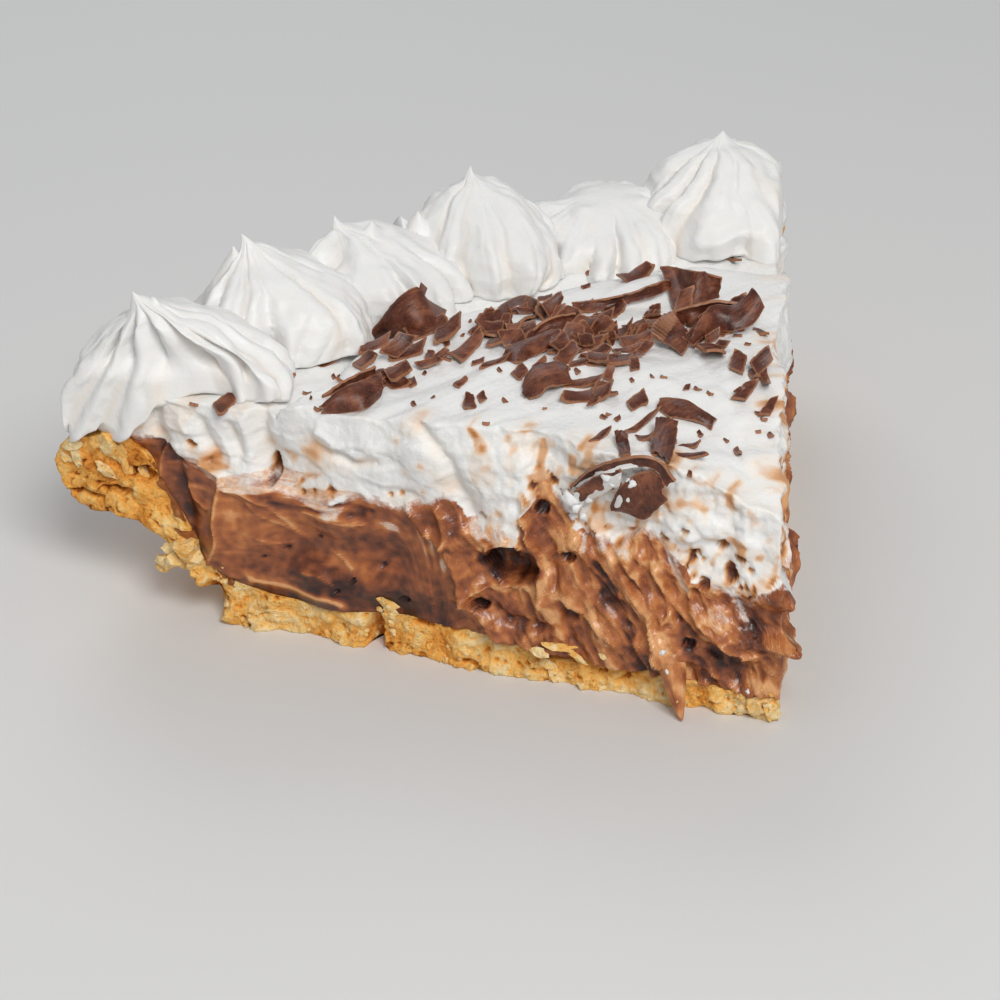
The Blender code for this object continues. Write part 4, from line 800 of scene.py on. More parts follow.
# Piped border. Each rosette has the angle and radius of its middle, its height over the ledge, and
# the pixels where its peak and further tips are seen, with their heights. Then the phase and twist
# of its folds, how far it hangs over the ledge at either cut, its breadth and bluntness, how far its
# outer side is drawn in above the foot, and the share of its height where its spike begins.
rosettes = {
    "long": 0.0200, "outer": 1.06, "wide": 0.0152, "folds": 12, "depth": 0.14, "sink": 0.0010,
    "drape": 0.0072, "round": 240, "up": 84, "tipSlope": 1.9,
    "lumps": [(0.007, 0.0011), (0.0026, 0.00035)],          # size and height
    "overCut": 0.0026, "overRim": 0.0018,                   # how far they may stand past cut and rim
    "foldPrint": {"near": 0.0030, "far": 0.0010},           # how deep folds show where they are cut
    "inset": 0.0030, "insetUpTo": 107.0, "insetUnder": 56.0,    # the near cut is pressed back here (mm)
    "skirt": 0.0016, "skirtFrom": 98.0, "skirtUnder": 50.0,     # and its foot stands out here (mm)
    "hem": 0.0030,                                          # the lowest edge is drawn in at a cut
    "hemOut": 0.0008, "hemFold": 0.0014,                    # and pushed out over the rim
    "swell": [(0.0, 0.97), (0.10, 1.0), (0.30, 0.98), (0.45, 0.92), (0.58, 0.81), (0.66, 0.71), (0.74, 0.58),
              (0.80, 0.45), (0.845, 0.32), (0.88, 0.20), (0.92, 0.10), (0.96, 0.045), (1.0, 0.0)],
    "shared": {"blunt": 0.0, "overNear": 0.0, "overFar": 0.0, "broad": 1.0, "tips": []},
    "each": [
        {"degrees": 2.5, "middle": 0.1050, "tall": 0.0182, "peak": (132, 291), "tips": [(155, 297, 0.0172)],
         "phase": 0.10, "twist": 0.5, "overNear": 1.4, "drawn": 0.25, "spike": 0.80},
        {"degrees": 16.3, "middle": 0.1032, "tall": 0.0180, "peak": (241, 233), "tips": [(232, 246, 0.0162)],
         "phase": 0.55, "twist": 0.6, "drawn": 0.45, "spike": 0.75},
        {"degrees": 29.2, "middle": 0.1020, "tall": 0.0150, "peak": (334, 215), "tips": [(371, 219, 0.0142)],
         "phase": 0.80, "twist": 0.4, "drawn": 0.45, "spike": 0.76},
        {"degrees": 40.9, "middle": 0.0995, "tall": 0.0165, "peak": (471, 165), "tips": [(416, 207, 0.0118)],
         "phase": 0.35, "twist": 0.5, "broad": 0.80, "drawn": 0.30, "spike": 0.82},
        {"degrees": 55.5, "middle": 0.0993, "tall": 0.0080, "peak": None, "blunt": 1.0,
         "phase": 0.60, "twist": 0.4, "broad": 1.08, "drawn": 0.25, "spike": 0.84},
        {"degrees": 67.5, "middle": 0.1008, "tall": 0.0165, "peak": (723, 130),
         "phase": 0.20, "twist": 0.5, "overFar": 0.2, "drawn": 0.20, "spike": 0.86},
    ],
}


# The place on the line of sight through a pixel at some height over the ledge.
def seenAt(x, y, tall):
    eye, ray = sightLine(x, y)
    return np.array(eye + ray * ((pie["ledgeTop"] + tall - eye.z) / ray.z))


def rosetteSpots(shape, seed, spec):
    level = shape[:, 2] + 0.5
    turn = np.arctan2(shape[:, 1], shape[:, 0])
    swayX, swayY = np.cos(turn), np.sin(turn)
    pointed = heightAt(rosettes["swell"], np.interp(level, (0.0, spec["spike"], 1.0), (0.0, 0.845, 1.0)))
    domed = np.sqrt(positive(1.0 - level ** 2.6))
    spread = pointed + (domed - pointed) * spec["blunt"]
    uneven = rough(swayX, swayY, level * 0.7, 1.1, seed)
    swirl = rosettes["folds"] * (turn + 0.55 * uneven) / math.tau
    swirl = swirl + spec["twist"] * level ** 0.8 + spec["phase"]
    part = (swirl % 1.0) ** 1.25
    fold = arch(part) ** 0.85
    small = arch((swirl * 3.0 + 0.4) % 1.0)
    small = small * smooth(0.5 + 3.0 * rough(swayX, swayY, level, 0.5, seed + 5))
    depth = np.clip(0.8 + 2.6 * rough(swayX, swayY, level * 0.5, 0.45, seed + 3), 0.2, 1.7)
    depth = rosettes["depth"] * depth
    fade = unit((1.0 - level) * 6.0) * (0.5 + 0.5 * smooth(level * 5.0))
    hem = 0.46 + 0.14 * np.cos(turn - 5.0 * spec["phase"]) + 0.10 * uneven
    tier = np.tanh((hem - level) / 0.05) * 0.028 * (1.0 + 2.0 * rough(swayX, swayY, 0.0, 0.6, seed + 4))
    spread = spread * (1.0 + depth * (fold - 0.75) * 1.3 * fade + 0.030 * small * fade + tier + 0.10 * uneven)
    spread = spread * (1.0 - 0.09 * unit(1.0 - level * 10.0) ** 2 * smooth(1.0 - 2.5 * swayX))
    overNear = spec["overNear"] * smooth(-1.4 * swayY) * smooth(0.4 + 1.5 * swayX)
    over = np.maximum(smooth(1.5 * swayX), overNear)
    over = np.maximum(over, spec["overFar"] * smooth(1.4 * swayY))
    torn = rough(swayX, swayY, 0.0, 0.22, seed + 6) + 0.8 * rough(swayX, swayY, 0.0, 0.09, seed + 7)
    torn = torn * (1.0 - smooth(4.0 * swayX))
    hang = rosettes["drape"] * over * (1.0 + 0.2 * smooth(2.0 * swayX))
    hang = rosettes["sink"] + hang * (0.60 + 0.25 * fold + 0.6 * uneven + 0.40 * torn)

    bearing = math.radians(spec["degrees"]) - half
    alongRadius = np.array((math.sin(bearing), math.cos(bearing), 0.0))
    alongRim = np.array((alongRadius[1], -alongRadius[0], 0.0))
    centre = place(np.array(spec["middle"]), math.radians(spec["degrees"]), np.array(pie["ledgeTop"]))
    peak = centre + (0.0, 0.0, spec["tall"])
    if spec["peak"]:
        peak = seenAt(*spec["peak"], spec["tall"])
    outer = rosettes["outer"] * (1.0 - spec["drawn"] * unit(2.0 * level))
    reach = rosettes["long"] * np.where(swayX > 0.0, outer, 1.0)
    spots = centre + np.outer(reach * spread * swayX, alongRadius)
    spots = spots + np.outer(rosettes["wide"] * spec["broad"] * spread * swayY, alongRim)
    spots = spots + np.outer(level ** 2.2, (peak - centre) * (1.0, 1.0, 0.0))
    spots[:, 2] += spec["tall"] - (spec["tall"] + hang) * (1.0 - level)
    for x, y, tall in spec["tips"]:
        tip = seenAt(x, y, tall)
        away = np.hypot(spots[:, 0] - tip[0], spots[:, 1] - tip[1])
        short = tip[2] - rosettes["tipSlope"] * away - spots[:, 2]
        spots[:, 2] += 0.5 * (short + np.sqrt(short ** 2 + 0.0003 ** 2))
    for size, tall in rosettes["lumps"]:
        soft = np.stack([rough(*spots.T, size, seed + k) for k in (11, 12, 13)], axis=-1)
        spots = spots + soft * tall * unit((1.0 - level) * 12.0)[:, None]
    # The valleys between the folds are tinted darker: painted shade in the creases.
    creaseShade = (1.0 - fold) ** 1.6 * fade * unit(1.2 - level)
    creaseShade = creaseShade * np.clip(0.06 + 1.2 * rough(swayX, swayY, level, 0.8, seed + 8), 0.0, 0.30)
    return spots, fold, creaseShade


# What would stand past a cut face or the rim is pressed back to it. Low hems on the outer side are
# pushed out over the rim.
def pressBack(spots, over, fold, hem):
    for cut in ("near", "far"):
        s, depth, z = onCut(spots, cut)
        inset = rosettes["inset"] * smooth((rosettes["insetUpTo"] - s) / 7.0)
        inset = inset * smooth((rosettes["insetUnder"] - z) / 8.0) * (cut == "near")
        past = positive(-depth * mm + over + inset)
        back = past - over * np.tanh(past / over)
        left = rosettes["foldPrint"][cut] * (fold - 0.65) * smooth(back / 0.004)
        low = smooth((rosettes["skirtUnder"] - z) / 5.0) * (cut == "near")
        skirt = rosettes["skirt"] * smooth(back / 0.0015) * smooth((s - rosettes["skirtFrom"]) / 8.0)
        left = left + low * (np.maximum(left, 0.0) - left + skirt) - rosettes["hem"] * hem
        spots[:, :2] -= (back - left)[:, None] * cuts[cut]["out"]
    radius, _ = polar(spots)
    past = positive(radius - pie["borderRadius"])
    back = past - rosettes["overRim"] * np.tanh(past / rosettes["overRim"])
    flat = spots[:, :2] - pointFlat
    spots[:, :2] -= flat / np.maximum(radius, 1e-6)[:, None] * back[:, None]
    low = smooth((pie["ledgeTop"] + 0.0015 - spots[:, 2]) / 0.0035) * smooth((radius - 0.1150) / 0.004)
    for cut in ("near", "far"):
        low = low * smooth((onCut(spots, cut)[1] - 2.0) / 4.0)
    wanted = pie["borderRadius"] + rosettes["hemOut"] + rosettes["hemFold"] * fold
    short = positive(wanted - np.minimum(radius, wanted)) * low
    spots[:, :2] += flat / np.maximum(radius, 1e-6)[:, None] * short[:, None]
    return spots


def makeRosette(number):
    spec = {**rosettes["shared"], **rosettes["each"][number]}
    bm = bmesh.new()
    bmesh.ops.create_cone(bm, cap_ends=True, cap_tris=True, segments=rosettes["round"], radius1=1.0,
                          radius2=0.0, depth=1.0)
    slopes = [e for e in bm.edges if abs(e.verts[0].co.z - e.verts[1].co.z) > 0.5]
    bmesh.ops.subdivide_edges(bm, edges=slopes, cuts=rosettes["up"], use_grid_fill=True)
    bmesh.ops.triangulate(bm, faces=bm.faces[:])
    piece = toPiece(bm, f"piped_rosette_{number + 1}")
    shape = readSpots(piece)
    spots, fold, creaseShade = rosetteSpots(shape, 100 + 17 * number, spec)
    hem = unit(1.0 - (shape[:, 2] + 0.5) * 10.0) ** 2
    spots = pressBack(spots, rosettes["overCut"], fold, hem)
    foot = np.hypot(shape[:, 0], shape[:, 1]) + shape[:, 2] < -0.49
    spots[foot] = place(spec["middle"], math.radians(spec["degrees"]), pie["ledgeTop"] - rosettes["sink"])
    writeSpots(piece, spots)
    # This share of a rosette is painted shade in the creases of its folds.
    writeShare(piece, "stain", np.clip(creaseShade, 0.0, 0.45))
    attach(piece, "root")
    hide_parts(f"rosette_{number + 1}")
    return piece


print("piped border")
border = [makeRosette(number) for number in range(len(rosettes["each"]))]


# The drip: a long drop that hangs point down in front of the near cut and runs back into it. Its
# middle line in millimetres along the cut, up and before its plane, with widths along it.
drip = {"line": [(14.4, 0.4, 5.0), (15.3, 3.0, 4.2), (16.5, 7.0, 2.8), (17.8, 11.5, 1.3), (19.6, 16.0, -0.2),
                 (22.4, 21.0, -2.5)],
        "widths": [(0.0, 0.0), (0.05, 0.14), (0.16, 0.34), (0.30, 0.62), (0.45, 0.88), (0.62, 1.0),
                   (0.85, 0.75), (1.0, 0.0)],
        "wide": 0.0052, "sink": 0.0008}


def makeDrip():
    bm = bmesh.new()
    bmesh.ops.create_uvsphere(bm, u_segments=48, v_segments=48, radius=1.0)
    out, side = (Vector((*cuts["near"][k], 0.0)) for k in ("out", "along"))
    line = [pointSpot + side * s * mm + out * front * mm + Vector((0.0, 0.0, z * mm))
            for s, z, front in drip["line"]]
    for v in bm.verts:
        share = 0.5 + 0.5 * v.co.z
        girth = math.hypot(v.co.x, v.co.y)
        across, front = (v.co.x / girth, v.co.y / girth) if girth > 0.001 else (0.0, 0.0)
        wide = float(heightAt(drip["widths"], share)) * drip["wide"] / 2.0
        crest = 1.0 + 0.15 * max(0.0, front) ** 6.0 + 0.5 * noise.noise(v.co * 2.2)
        middle = Vector(along(line, np.array([share * (len(line) - 1.0)]))[0])
        v.co = middle + side * across * wide + out * (front * wide * 0.75 * crest - drip["sink"] * share ** 2)
    bmesh.ops.recalc_face_normals(bm, faces=bm.faces[:])
    piece = toPiece(bm, "pudding_drip")
    spots = readSpots(piece)
    dressPlain(piece, spots * (1000.0, 1000.0, 150.0), 1.6 * rough(*spots.T, 0.0025, 5) + 0.75)
    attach(piece, "root")
    return piece


drop = makeDrip()

# Shaved chocolate. A curl lies between two edges, each a line of points given as pixel x, pixel y
# and height over the cream in millimetres. Cup bends it across and crinkle roughens it, both in
# millimetres. Creamed places are given by shares along and across it, with half sizes.
curls = {
    "curl_crinkled": {"cup": 0.5, "crinkle": 1.2, "edges": (
        ((470, 335, 0.3), (484, 322, 1.4), (497, 310, 2.4), (508, 303, 2.6), (524, 299, 2.8),
         (541, 304, 1.6)),
        ((474, 337, 0.1), (489, 338, 0.6), (505, 337, 1.0), (516, 331, 1.4), (525, 322, 1.4),
         (536, 318, 0.6)))},
    "curl_behind_middle": {"cup": 0.9, "crinkle": 0.2, "edges": (
        ((518, 344, 0.2), (530, 332, 2.0), (544, 320, 3.2), (560, 315, 3.2), (575, 312, 2.6)),
        ((537, 341, 0.1), (546, 334, 0.9), (556, 330, 1.1), (566, 332, 0.6), (573, 328, 0.4)))},
    "curl_middle": {"cup": -0.5, "crinkle": 0.15, "edges": (
        ((507, 350, 1.6), (520, 344, 1.8), (536, 338, 2.0), (549, 333, 2.1), (560, 331, 2.2)),
        ((505, 358, 0.2), (516, 364, 0.1), (530, 357, 0.4), (546, 350, 0.6), (561, 342, 0.8)))},
    "curl_bent_plate": {"cup": -0.7, "crinkle": 0.1, "edges": (
        ((524, 386, 0.3), (532, 371, 1.9), (543, 366, 2.4), (560, 364, 2.4), (569, 371, 1.8)),
        ((530, 400, 0.1), (538, 397, 0.4), (549, 388, 1.2), (560, 387, 0.7), (572, 383, 0.2)))},
    "curl_pair_lower": {"cup": -0.8, "crinkle": 0.15, "edges": (
        ((320, 408, 0.4), (333, 396, 2.2), (345, 388, 2.8), (360, 383, 2.6), (380, 374, 1.4)),
        ((321, 411, 0.1), (335, 412, 0.1), (350, 411, 0.2), (364, 409, 0.3), (378, 396, 0.2)))},
    "curl_pair_upper": {"cup": 0.5, "crinkle": 0.15, "edges": (
        ((322, 395, 0.4), (336, 385, 1.7), (350, 377, 2.5), (364, 370, 3.0), (375, 365, 3.0)),
        ((324, 397, 0.1), (340, 393, 0.3), (354, 389, 0.5), (366, 383, 0.7), (377, 374, 0.9)))},
    "curl_against_border": {"cup": -1.2, "crinkle": 0.3, "edges": (
        ((364, 341, 0.2), (379, 324, 3.6), (393, 306, 6.8), (405, 294, 8.6), (417, 288, 9.2),
         (421, 296, 8.2)),
        ((367, 341, 0.1), (388, 337, 0.4), (406, 334, 0.6), (424, 331, 0.7), (438, 326, 0.8),
         (445, 311, 2.6)))},
    "curl_long_stick": {"cup": -0.4, "crinkle": 0.15, "edges": (
        ((572, 302, 1.5), (590, 300, 1.8), (610, 297, 2.0), (632, 292, 2.2), (652, 284, 2.6),
         (668, 279, 2.8)),
        ((574, 311, 0.2), (592, 313, 0.1), (612, 308, 0.4), (634, 302, 0.5), (654, 297, 0.7),
         (672, 288, 1.0)))},
    "curl_raised_plate": {"cup": 0.3, "crinkle": 0.1, "edges": (
        ((660, 268, 5.6), (676, 268, 5.8), (692, 270, 5.6), (708, 273, 5.2), (722, 277, 4.6)),
        ((673, 310, 0.4), (684, 309, 0.6), (695, 306, 0.6), (707, 301, 0.7), (717, 297, 0.8)))},
    "curl_behind_largest": {"cup": 0.9, "crinkle": 0.2, "edges": (
        ((671, 312, 2.6), (684, 307, 3.4), (700, 303, 4.0), (718, 300, 4.2), (738, 302, 3.6)),
        ((689, 326, 0.2), (697, 327, 0.4), (706, 323, 1.0), (718, 314, 1.4), (730, 308, 1.6)))},
    "curl_largest": {"cup": -0.9, "crinkle": 0.15, "edges": (
        ((689, 346, 0.3), (697, 327, 3.0), (711, 308, 4.8), (730, 308, 4.0), (743, 302, 4.4),
         (754, 289, 6.0)),
        ((691, 348, 0.1), (704, 338, 0.4), (718, 330, 0.7), (735, 331, 0.7), (752, 324, 1.6),
         (763, 307, 3.6)))},
    "curl_ribbed": {"cup": -0.4, "crinkle": 0.1, "ribs": 9, "edges": (
        ((650, 334, 1.4), (655, 325, 2.2), (663, 318, 3.0), (671, 313, 3.6)),
        ((683, 356, 0.2), (686, 351, 0.6), (689, 344, 1.0), (687, 334, 1.6)))},
    "curl_near_point": {"cup": -0.4, "crinkle": 0.3, "edges": (
        ((661, 401, 0.5), (672, 400, 0.7), (686, 402, 0.8), (700, 411, 0.7), (716, 422, 0.4)),
        ((658, 410, 0.1), (668, 417, 0.1), (682, 419, 0.2), (698, 423, 0.2), (712, 429, 0.1)))},
}
curlLook = {"long": 44, "wide": 16, "thick": 0.00045, "ragged": 0.00022, "fine": 0.00010,
            "ribs": 0.00016, "sharp": 42.0}


def treeOf(piece):
    mesh = piece.data
    return BVHTree.FromPolygons([v.co for v in mesh.vertices], [p.vertices for p in mesh.polygons])


creamTree = treeOf(cream)


# The place seen at a pixel, lifted over the cream by some millimetres along the line of sight.
def seenOnCream(x, y, lift=0.0):
    eye, ray = sightLine(x, y)
    spot = creamTree.ray_cast(eye, ray)[0]
    if spot is None:
        spot = eye + ray * ((pie["ledgeTop"] - eye.z) / ray.z)
    return eye + ray * ((spot.z + mm * lift - eye.z) / ray.z)


def makeCurl(name, spec, seed, node=True):
    bm = makePlate(curlLook["long"], curlLook["wide"])
    first, second = ([seenOnCream(*spot) for spot in edge] for edge in spec["edges"])
    bm.verts.ensure_lookup_table()
    u, v = np.array([(w.co.x, w.co.y) for w in bm.verts]).T
    edgeA = along(first, u * (len(first) - 1.0))
    edgeB = along(second, u * (len(second) - 1.0))
    spots = edgeA + (edgeB - edgeA) * v[:, None]
    run = np.array(first[-1] - first[0])
    side = np.array(second[len(second) // 2] - first[len(first) // 2])
    normal = np.cross(run, side)
    normal = normal / np.linalg.norm(normal)
    if normal[2] < 0.0:
        normal = -normal
    rim = np.minimum(np.minimum(u, 1.0 - u) * 4.0, np.minimum(v, 1.0 - v))
    ragged = np.stack([rough(*spots.T, 0.0012, seed + k) for k in (1, 2)], axis=-1)
    spots[:, :2] += ragged * curlLook["ragged"] * unit(1.0 - rim * 12.0)[:, None]
    crinkle = mm * spec["crinkle"] * rough(u * 3.0, v * 1.6, 0.0, 1.0, seed + 5)
    fine = curlLook["fine"] * rough(u * 4.0, v * 26.0, 0.0, 1.0, seed + 7)
    rise = -mm * spec["cup"] * 4.0 * v * (1.0 - v) + crinkle + fine
    ribs = np.zeros(len(u))
    if "ribs" in spec:
        ribs = np.clip(np.sin(u * spec["ribs"] * math.tau) * 1.6, -1.0, 1.0)
        ribs = ribs * smooth((0.52 - v) * 9.0) * smooth(v * 12.0)
        rise = rise + curlLook["ribs"] * ribs
    spots = spots + normal * rise[:, None]
    for w, spot in zip(bm.verts, spots):
        w.co = spot
    pale = unit(1.0 - rim * 14.0)
    creamed = np.zeros(len(u))
    for spotU, spotV, long, wide in spec.get("creamed", []):
        away = np.hypot((u - spotU) / long, (v - spotV) / wide)
        away = away + 0.9 * rough(u * 9.0, v * 3.0, 0.0, 1.0, seed + 9)
        creamed = np.maximum(creamed, smooth(1.5 - away))
    layer, whiteLayer = (bm.verts.layers.float.new(kind) for kind in ("pale", "creamed"))
    for w, share, rib, white in zip(bm.verts, pale, ribs, creamed):
        w[layer] = max(share, 0.95 * rib)
        w[whiteLayer] = white
    bmesh.ops.recalc_face_normals(bm, faces=bm.faces[:])
    bmesh.ops.solidify(bm, geom=bm.faces[:], thickness=curlLook["thick"])
    bmesh.ops.triangulate(bm, faces=bm.faces[:])
    bmesh.ops.recalc_face_normals(bm, faces=bm.faces[:])
    piece = toPiece(bm, "shaved_" + name)
    piece.data.set_sharp_from_angle(angle=math.radians(curlLook["sharp"]))
    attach(piece, "root")
    if node:
        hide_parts(name)
    return piece


# A broken curl and two flakes that stick in the near cut. The solid has them in its cream.
cutFlakes = {
    "cut_curl_hood": {"cup": -0.5, "crinkle": 0.3, "creamed": [(0.0, 0.6, 0.12, 0.6), (0.22, 1.0, 0.16, 0.4),
                                                               (0.45, 1.0, 0.12, 0.3)], "edges": (
        ((567, 489, 0.6), (583, 473, 1.2), (606, 462, 1.9), (636, 455, 2.3), (660, 461, 2.2),
         (676, 480, 1.4)),
        ((574, 492, 0.4), (590, 481, 0.9), (611, 472, 1.4), (638, 466, 1.6), (655, 470, 1.5),
         (667, 486, 0.9)))},
    "cut_curl_inside": {"cup": 0.5, "crinkle": 0.2, "creamed": [(0.2, 0.35, 0.12, 0.16)], "edges": (
        ((613, 505, 0.7), (621, 487, 1.0), (636, 474, 1.2), (652, 471, 1.2), (664, 478, 1.0)),
        ((617, 508, 0.6), (632, 513, 0.8), (645, 517, 0.9), (656, 508, 0.9), (667, 497, 0.8)))},
    "cut_curl_left": {"cup": 0.4, "crinkle": 0.2, "creamed": [(0.05, 0.5, 0.16, 0.7), (0.45, 0.9, 0.30, 0.35),
                                                              (0.85, 0.5, 0.20, 0.40)], "edges": (
        ((569, 497, 0.9), (582, 485, 1.3), (600, 475, 1.6), (622, 468, 1.8)),
        ((578, 506, 0.5), (592, 497, 0.8), (607, 490, 1.0), (622, 484, 1.1)))},
    "cut_flake_large": {"cup": -0.3, "crinkle": 0.1, "edges": (
        ((656, 417, 2.4), (653, 432, 1.7), (650, 449, 1.0)),
        ((678, 421, 2.4), (676, 442, 1.7), (670, 462, 1.0)))},
    "cut_flake_small": {"cup": -0.2, "crinkle": 0.1, "edges": (
        ((614, 431, 1.6), (616, 444, 1.1), (620, 455, 0.6)),
        ((626, 431, 1.6), (629, 443, 1.1), (631, 454, 0.6)))},
}


print("shaved chocolate")
bigCurls = [makeCurl(name, spec, 200 + 10 * number) for number, (name, spec) in enumerate(curls.items())]
bigCurls += [makeCurl(name, spec, 400 + 10 * number, False)
             for number, (name, spec) in enumerate(cutFlakes.items())]


# Smaller shavings, where they are seen: pixel x and y, length and width in millimetres, heading
# and lean in degrees.
chips = [
    (468, 351, 8.6, 3.4, 24, 9), (615, 313, 4.4, 3.6, 10, 14), (590, 334, 7.6, 4.4, -8, 12),
    (588, 348, 6.4, 2.6, -12, 7), (612, 330, 2.4, 1.4, 10, 6), (620, 337, 5.6, 3.0, -36, 15),
    (637, 345, 5.6, 3.8, -20, 12), (630, 352, 5.2, 2.4, -10, 6), (520, 375, 3.0, 2.4, 20, 10),
    (584, 385, 5.6, 2.0, -32, 8), (609, 377, 2.8, 1.6, 40, 24), (588, 399, 8.4, 3.0, -30, 6),
    (540, 366, 3.4, 1.2, 20, 10), (579, 365, 3.2, 1.8, -20, 8), (604, 362, 5.6, 2.2, -26, 8),
    (470, 405, 3.4, 2.6, 60, 20), (482, 399, 1.8, 1.6, 80, 24), (495, 364, 5.0, 1.6, -10, 8),
    (478, 363, 2.2, 1.0, -10, 6), (637, 404, 4.2, 2.6, 11, 4), (635, 367, 2.6, 1.8, 60, 22),
    (636, 278, 6.8, 3.4, 2, 10), (713, 356, 6.4, 4.4, -114, 18), (738, 366, 4.4, 2.6, 43, 16),
    (745, 394, 5.2, 2.2, 27, 10), (755, 377, 4.8, 2.2, -112, 14), (765, 380, 8.6, 1.6, -118, 8),
    (769, 410, 4.6, 1.8, 34, 10), (690, 447, 3.0, 1.0, -40, 10), (646, 440, 3.4, 1.4, -60, 30),
    (642, 426, 6.6, 1.0, 14, 12), (601, 437, 3.8, 1.2, 20, 10), (692, 458, 4.8, 1.2, -50, 14),
    (727, 257, 8.6, 1.1, -100, 6), (590, 274, 1.8, 1.2, 20, 6), (586, 288, 1.6, 1.0, 0, 6),
    (653, 320, 2.8, 1.6, -20, 10), (761, 333, 3.0, 1.2, -100, 10), (738, 454, 3.4, 1.2, -110, 20),
    (427, 333, 7.6, 3.4, -6, 8), (375, 347, 5.6, 2.6, -4, 8), (408, 355, 6.2, 3.4, -18, 9),
    (436, 361, 5.4, 1.4, 15, 8), (398, 386, 3.6, 2.6, -20, 10), (412, 384, 1.5, 2.2, 0, 8),
    (388, 381, 6.2, 1.8, 20, 16), (329, 363, 4.8, 1.6, 14, 8), (273, 391, 7.8, 2.8, 8, 10),
    (243, 397, 2.8, 2.2, 30, 10), (226, 405, 6.0, 3.0, 24, 6), (461, 384, 3.0, 1.6, 20, 5),
    (722, 334, 5.6, 2.2, -20, 8), (700, 318, 5.0, 1.0, -30, 8), (556, 372, 2.0, 1.2, 10, 10),
    (520, 312, 3.2, 1.4, -30, 20), (499, 322, 3.6, 1.8, 20, 16), (545, 300, 2.6, 1.2, -40, 16),
    (566, 352, 2.8, 1.6, -70, 14), (596, 318, 1.8, 0.9, 60, 6), (671, 336, 3.6, 2.2, -60, 12),
]
specks = [(687, 389), (698, 390), (710, 394), (463, 336), (450, 317), (307, 394), (311, 399), (195, 406),
          (334, 378), (339, 377), (318, 410), (341, 381), (448, 360), (414, 405), (500, 371), (486, 424),
          (545, 409), (604, 418), (609, 415), (652, 377), (560, 382), (577, 372), (433, 398), (425, 374),
          (505, 402), (618, 420), (632, 381), (664, 378), (700, 300), (741, 330), (748, 345), (764, 420),
          (758, 432), (771, 436), (700, 435), (726, 441), (654, 455), (690, 475), (470, 322), (447, 345)]


# Heaps of shards: middle and half size in pixels, and how many.
heaps = [(548, 328, 72, 26, 26), (600, 345, 48, 24, 22), (640, 330, 44, 22, 16), (700, 330, 50, 30, 12),
         (600, 392, 30, 14, 5), (385, 372, 30, 12, 3), (752, 385, 14, 34, 4), (430, 350, 50, 20, 5)]


chipLook = {"long": 9, "wide": 4, "thick": 0.0005, "jag": 0.09, "cup": 0.07, "sink": 0.0003,
            "lengths": (1.4, 2.0, 3.0, 4.2, 5.2)}


def chip(bm, centre, long, wide, heading, lean, roll, draw):
    fresh = makePlate(chipLook["long"], chipLook["wide"])
    bend, skew, taper = long * draw.uniform(0.7, 2.6), draw.uniform(-0.4, 0.4), draw.uniform(0.5, 1.0)
    seed = draw.uniform(0.0, 90.0)
    for v in fresh.verts:
        u, w = v.co.x - 0.5, v.co.y - 0.5
        edge = max(abs(u), abs(w)) > 0.49
        jag = chipLook["jag"] * noise.noise((u * 5.0 + seed, w * 5.0, seed)) if edge else 0.0
        across = w * wide * (1.0 + (taper - 1.0) * (u + 0.5)) * (1.0 + jag * 3.0)
        across = across * (1.0 - 0.12 * abs(2.0 * u) ** 6)
        angle = (u * (1.0 + jag) + skew * w) * long / bend
        cup = chipLook["cup"] * wide * (1.0 - 4.0 * w * w)
        v.co = (bend * math.sin(angle), across, bend * (1.0 - math.cos(angle)) + cup)
    layer = fresh.verts.layers.float.new("pale")
    for v in fresh.verts:
        v[layer] = 1.0 if v.is_boundary else 0.0
    bmesh.ops.solidify(fresh, geom=fresh.faces[:], thickness=chipLook["thick"])
    turn = (Matrix.Translation(centre) @ Matrix.Rotation(math.radians(heading), 4, "Z")
            @ Matrix.Rotation(math.radians(-lean), 4, "Y") @ Matrix.Rotation(math.radians(roll), 4, "X"))
    bmesh.ops.transform(fresh, matrix=turn, verts=fresh.verts)
    low = min(v.co.z for v in fresh.verts)
    bmesh.ops.translate(fresh, verts=fresh.verts, vec=(0.0, 0.0, centre.z - low - chipLook["sink"]))
    bmesh.ops.triangulate(fresh, faces=fresh.faces[:])
    bmesh.ops.recalc_face_normals(fresh, faces=fresh.faces[:])
    joinInto(bm, fresh)


def joinInto(bm, fresh):
    mesh = bpy.data.meshes.new("part")
    fresh.to_mesh(mesh)
    fresh.free()
    bm.from_mesh(mesh)
    bpy.data.meshes.remove(mesh)


def makeChips():
    draw = random.Random(pie["seed"])
    bm = bmesh.new()
    for x, y, long, wide, heading, lean in chips:
        roll = draw.uniform(6.0, 26.0) * math.cos(math.radians(heading))
        chip(bm, seenOnCream(x, y), long * mm, wide * mm, heading, lean, roll, draw)
    for x, y, across, down, count in heaps:
        for number in range(count):
            away, around = math.sqrt(draw.random()), draw.uniform(0.0, math.tau)
            long = mm * draw.choice(chipLook["lengths"])
            chip(bm, seenOnCream(x + across * away * math.cos(around), y + down * away * math.sin(around),
                                 draw.uniform(0.0, 1.0)), long, long * draw.uniform(0.4, 0.85),
                 draw.uniform(-70.0, 50.0), draw.uniform(2.0, 30.0), draw.uniform(-5.0, 55.0), draw)
    for x, y in specks:
        size = draw.uniform(0.0007, 0.0014)
        chip(bm, seenOnCream(x, y), size, size * draw.uniform(0.5, 0.9), draw.uniform(0.0, 180.0),
             draw.uniform(0.0, 20.0), draw.uniform(0.0, 30.0), draw)
    piece = toPiece(bm, "chocolate_chips")
    piece.data.set_sharp_from_angle(angle=math.radians(curlLook["sharp"]))
    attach(piece, "root")
    return piece


scatter = makeChips()


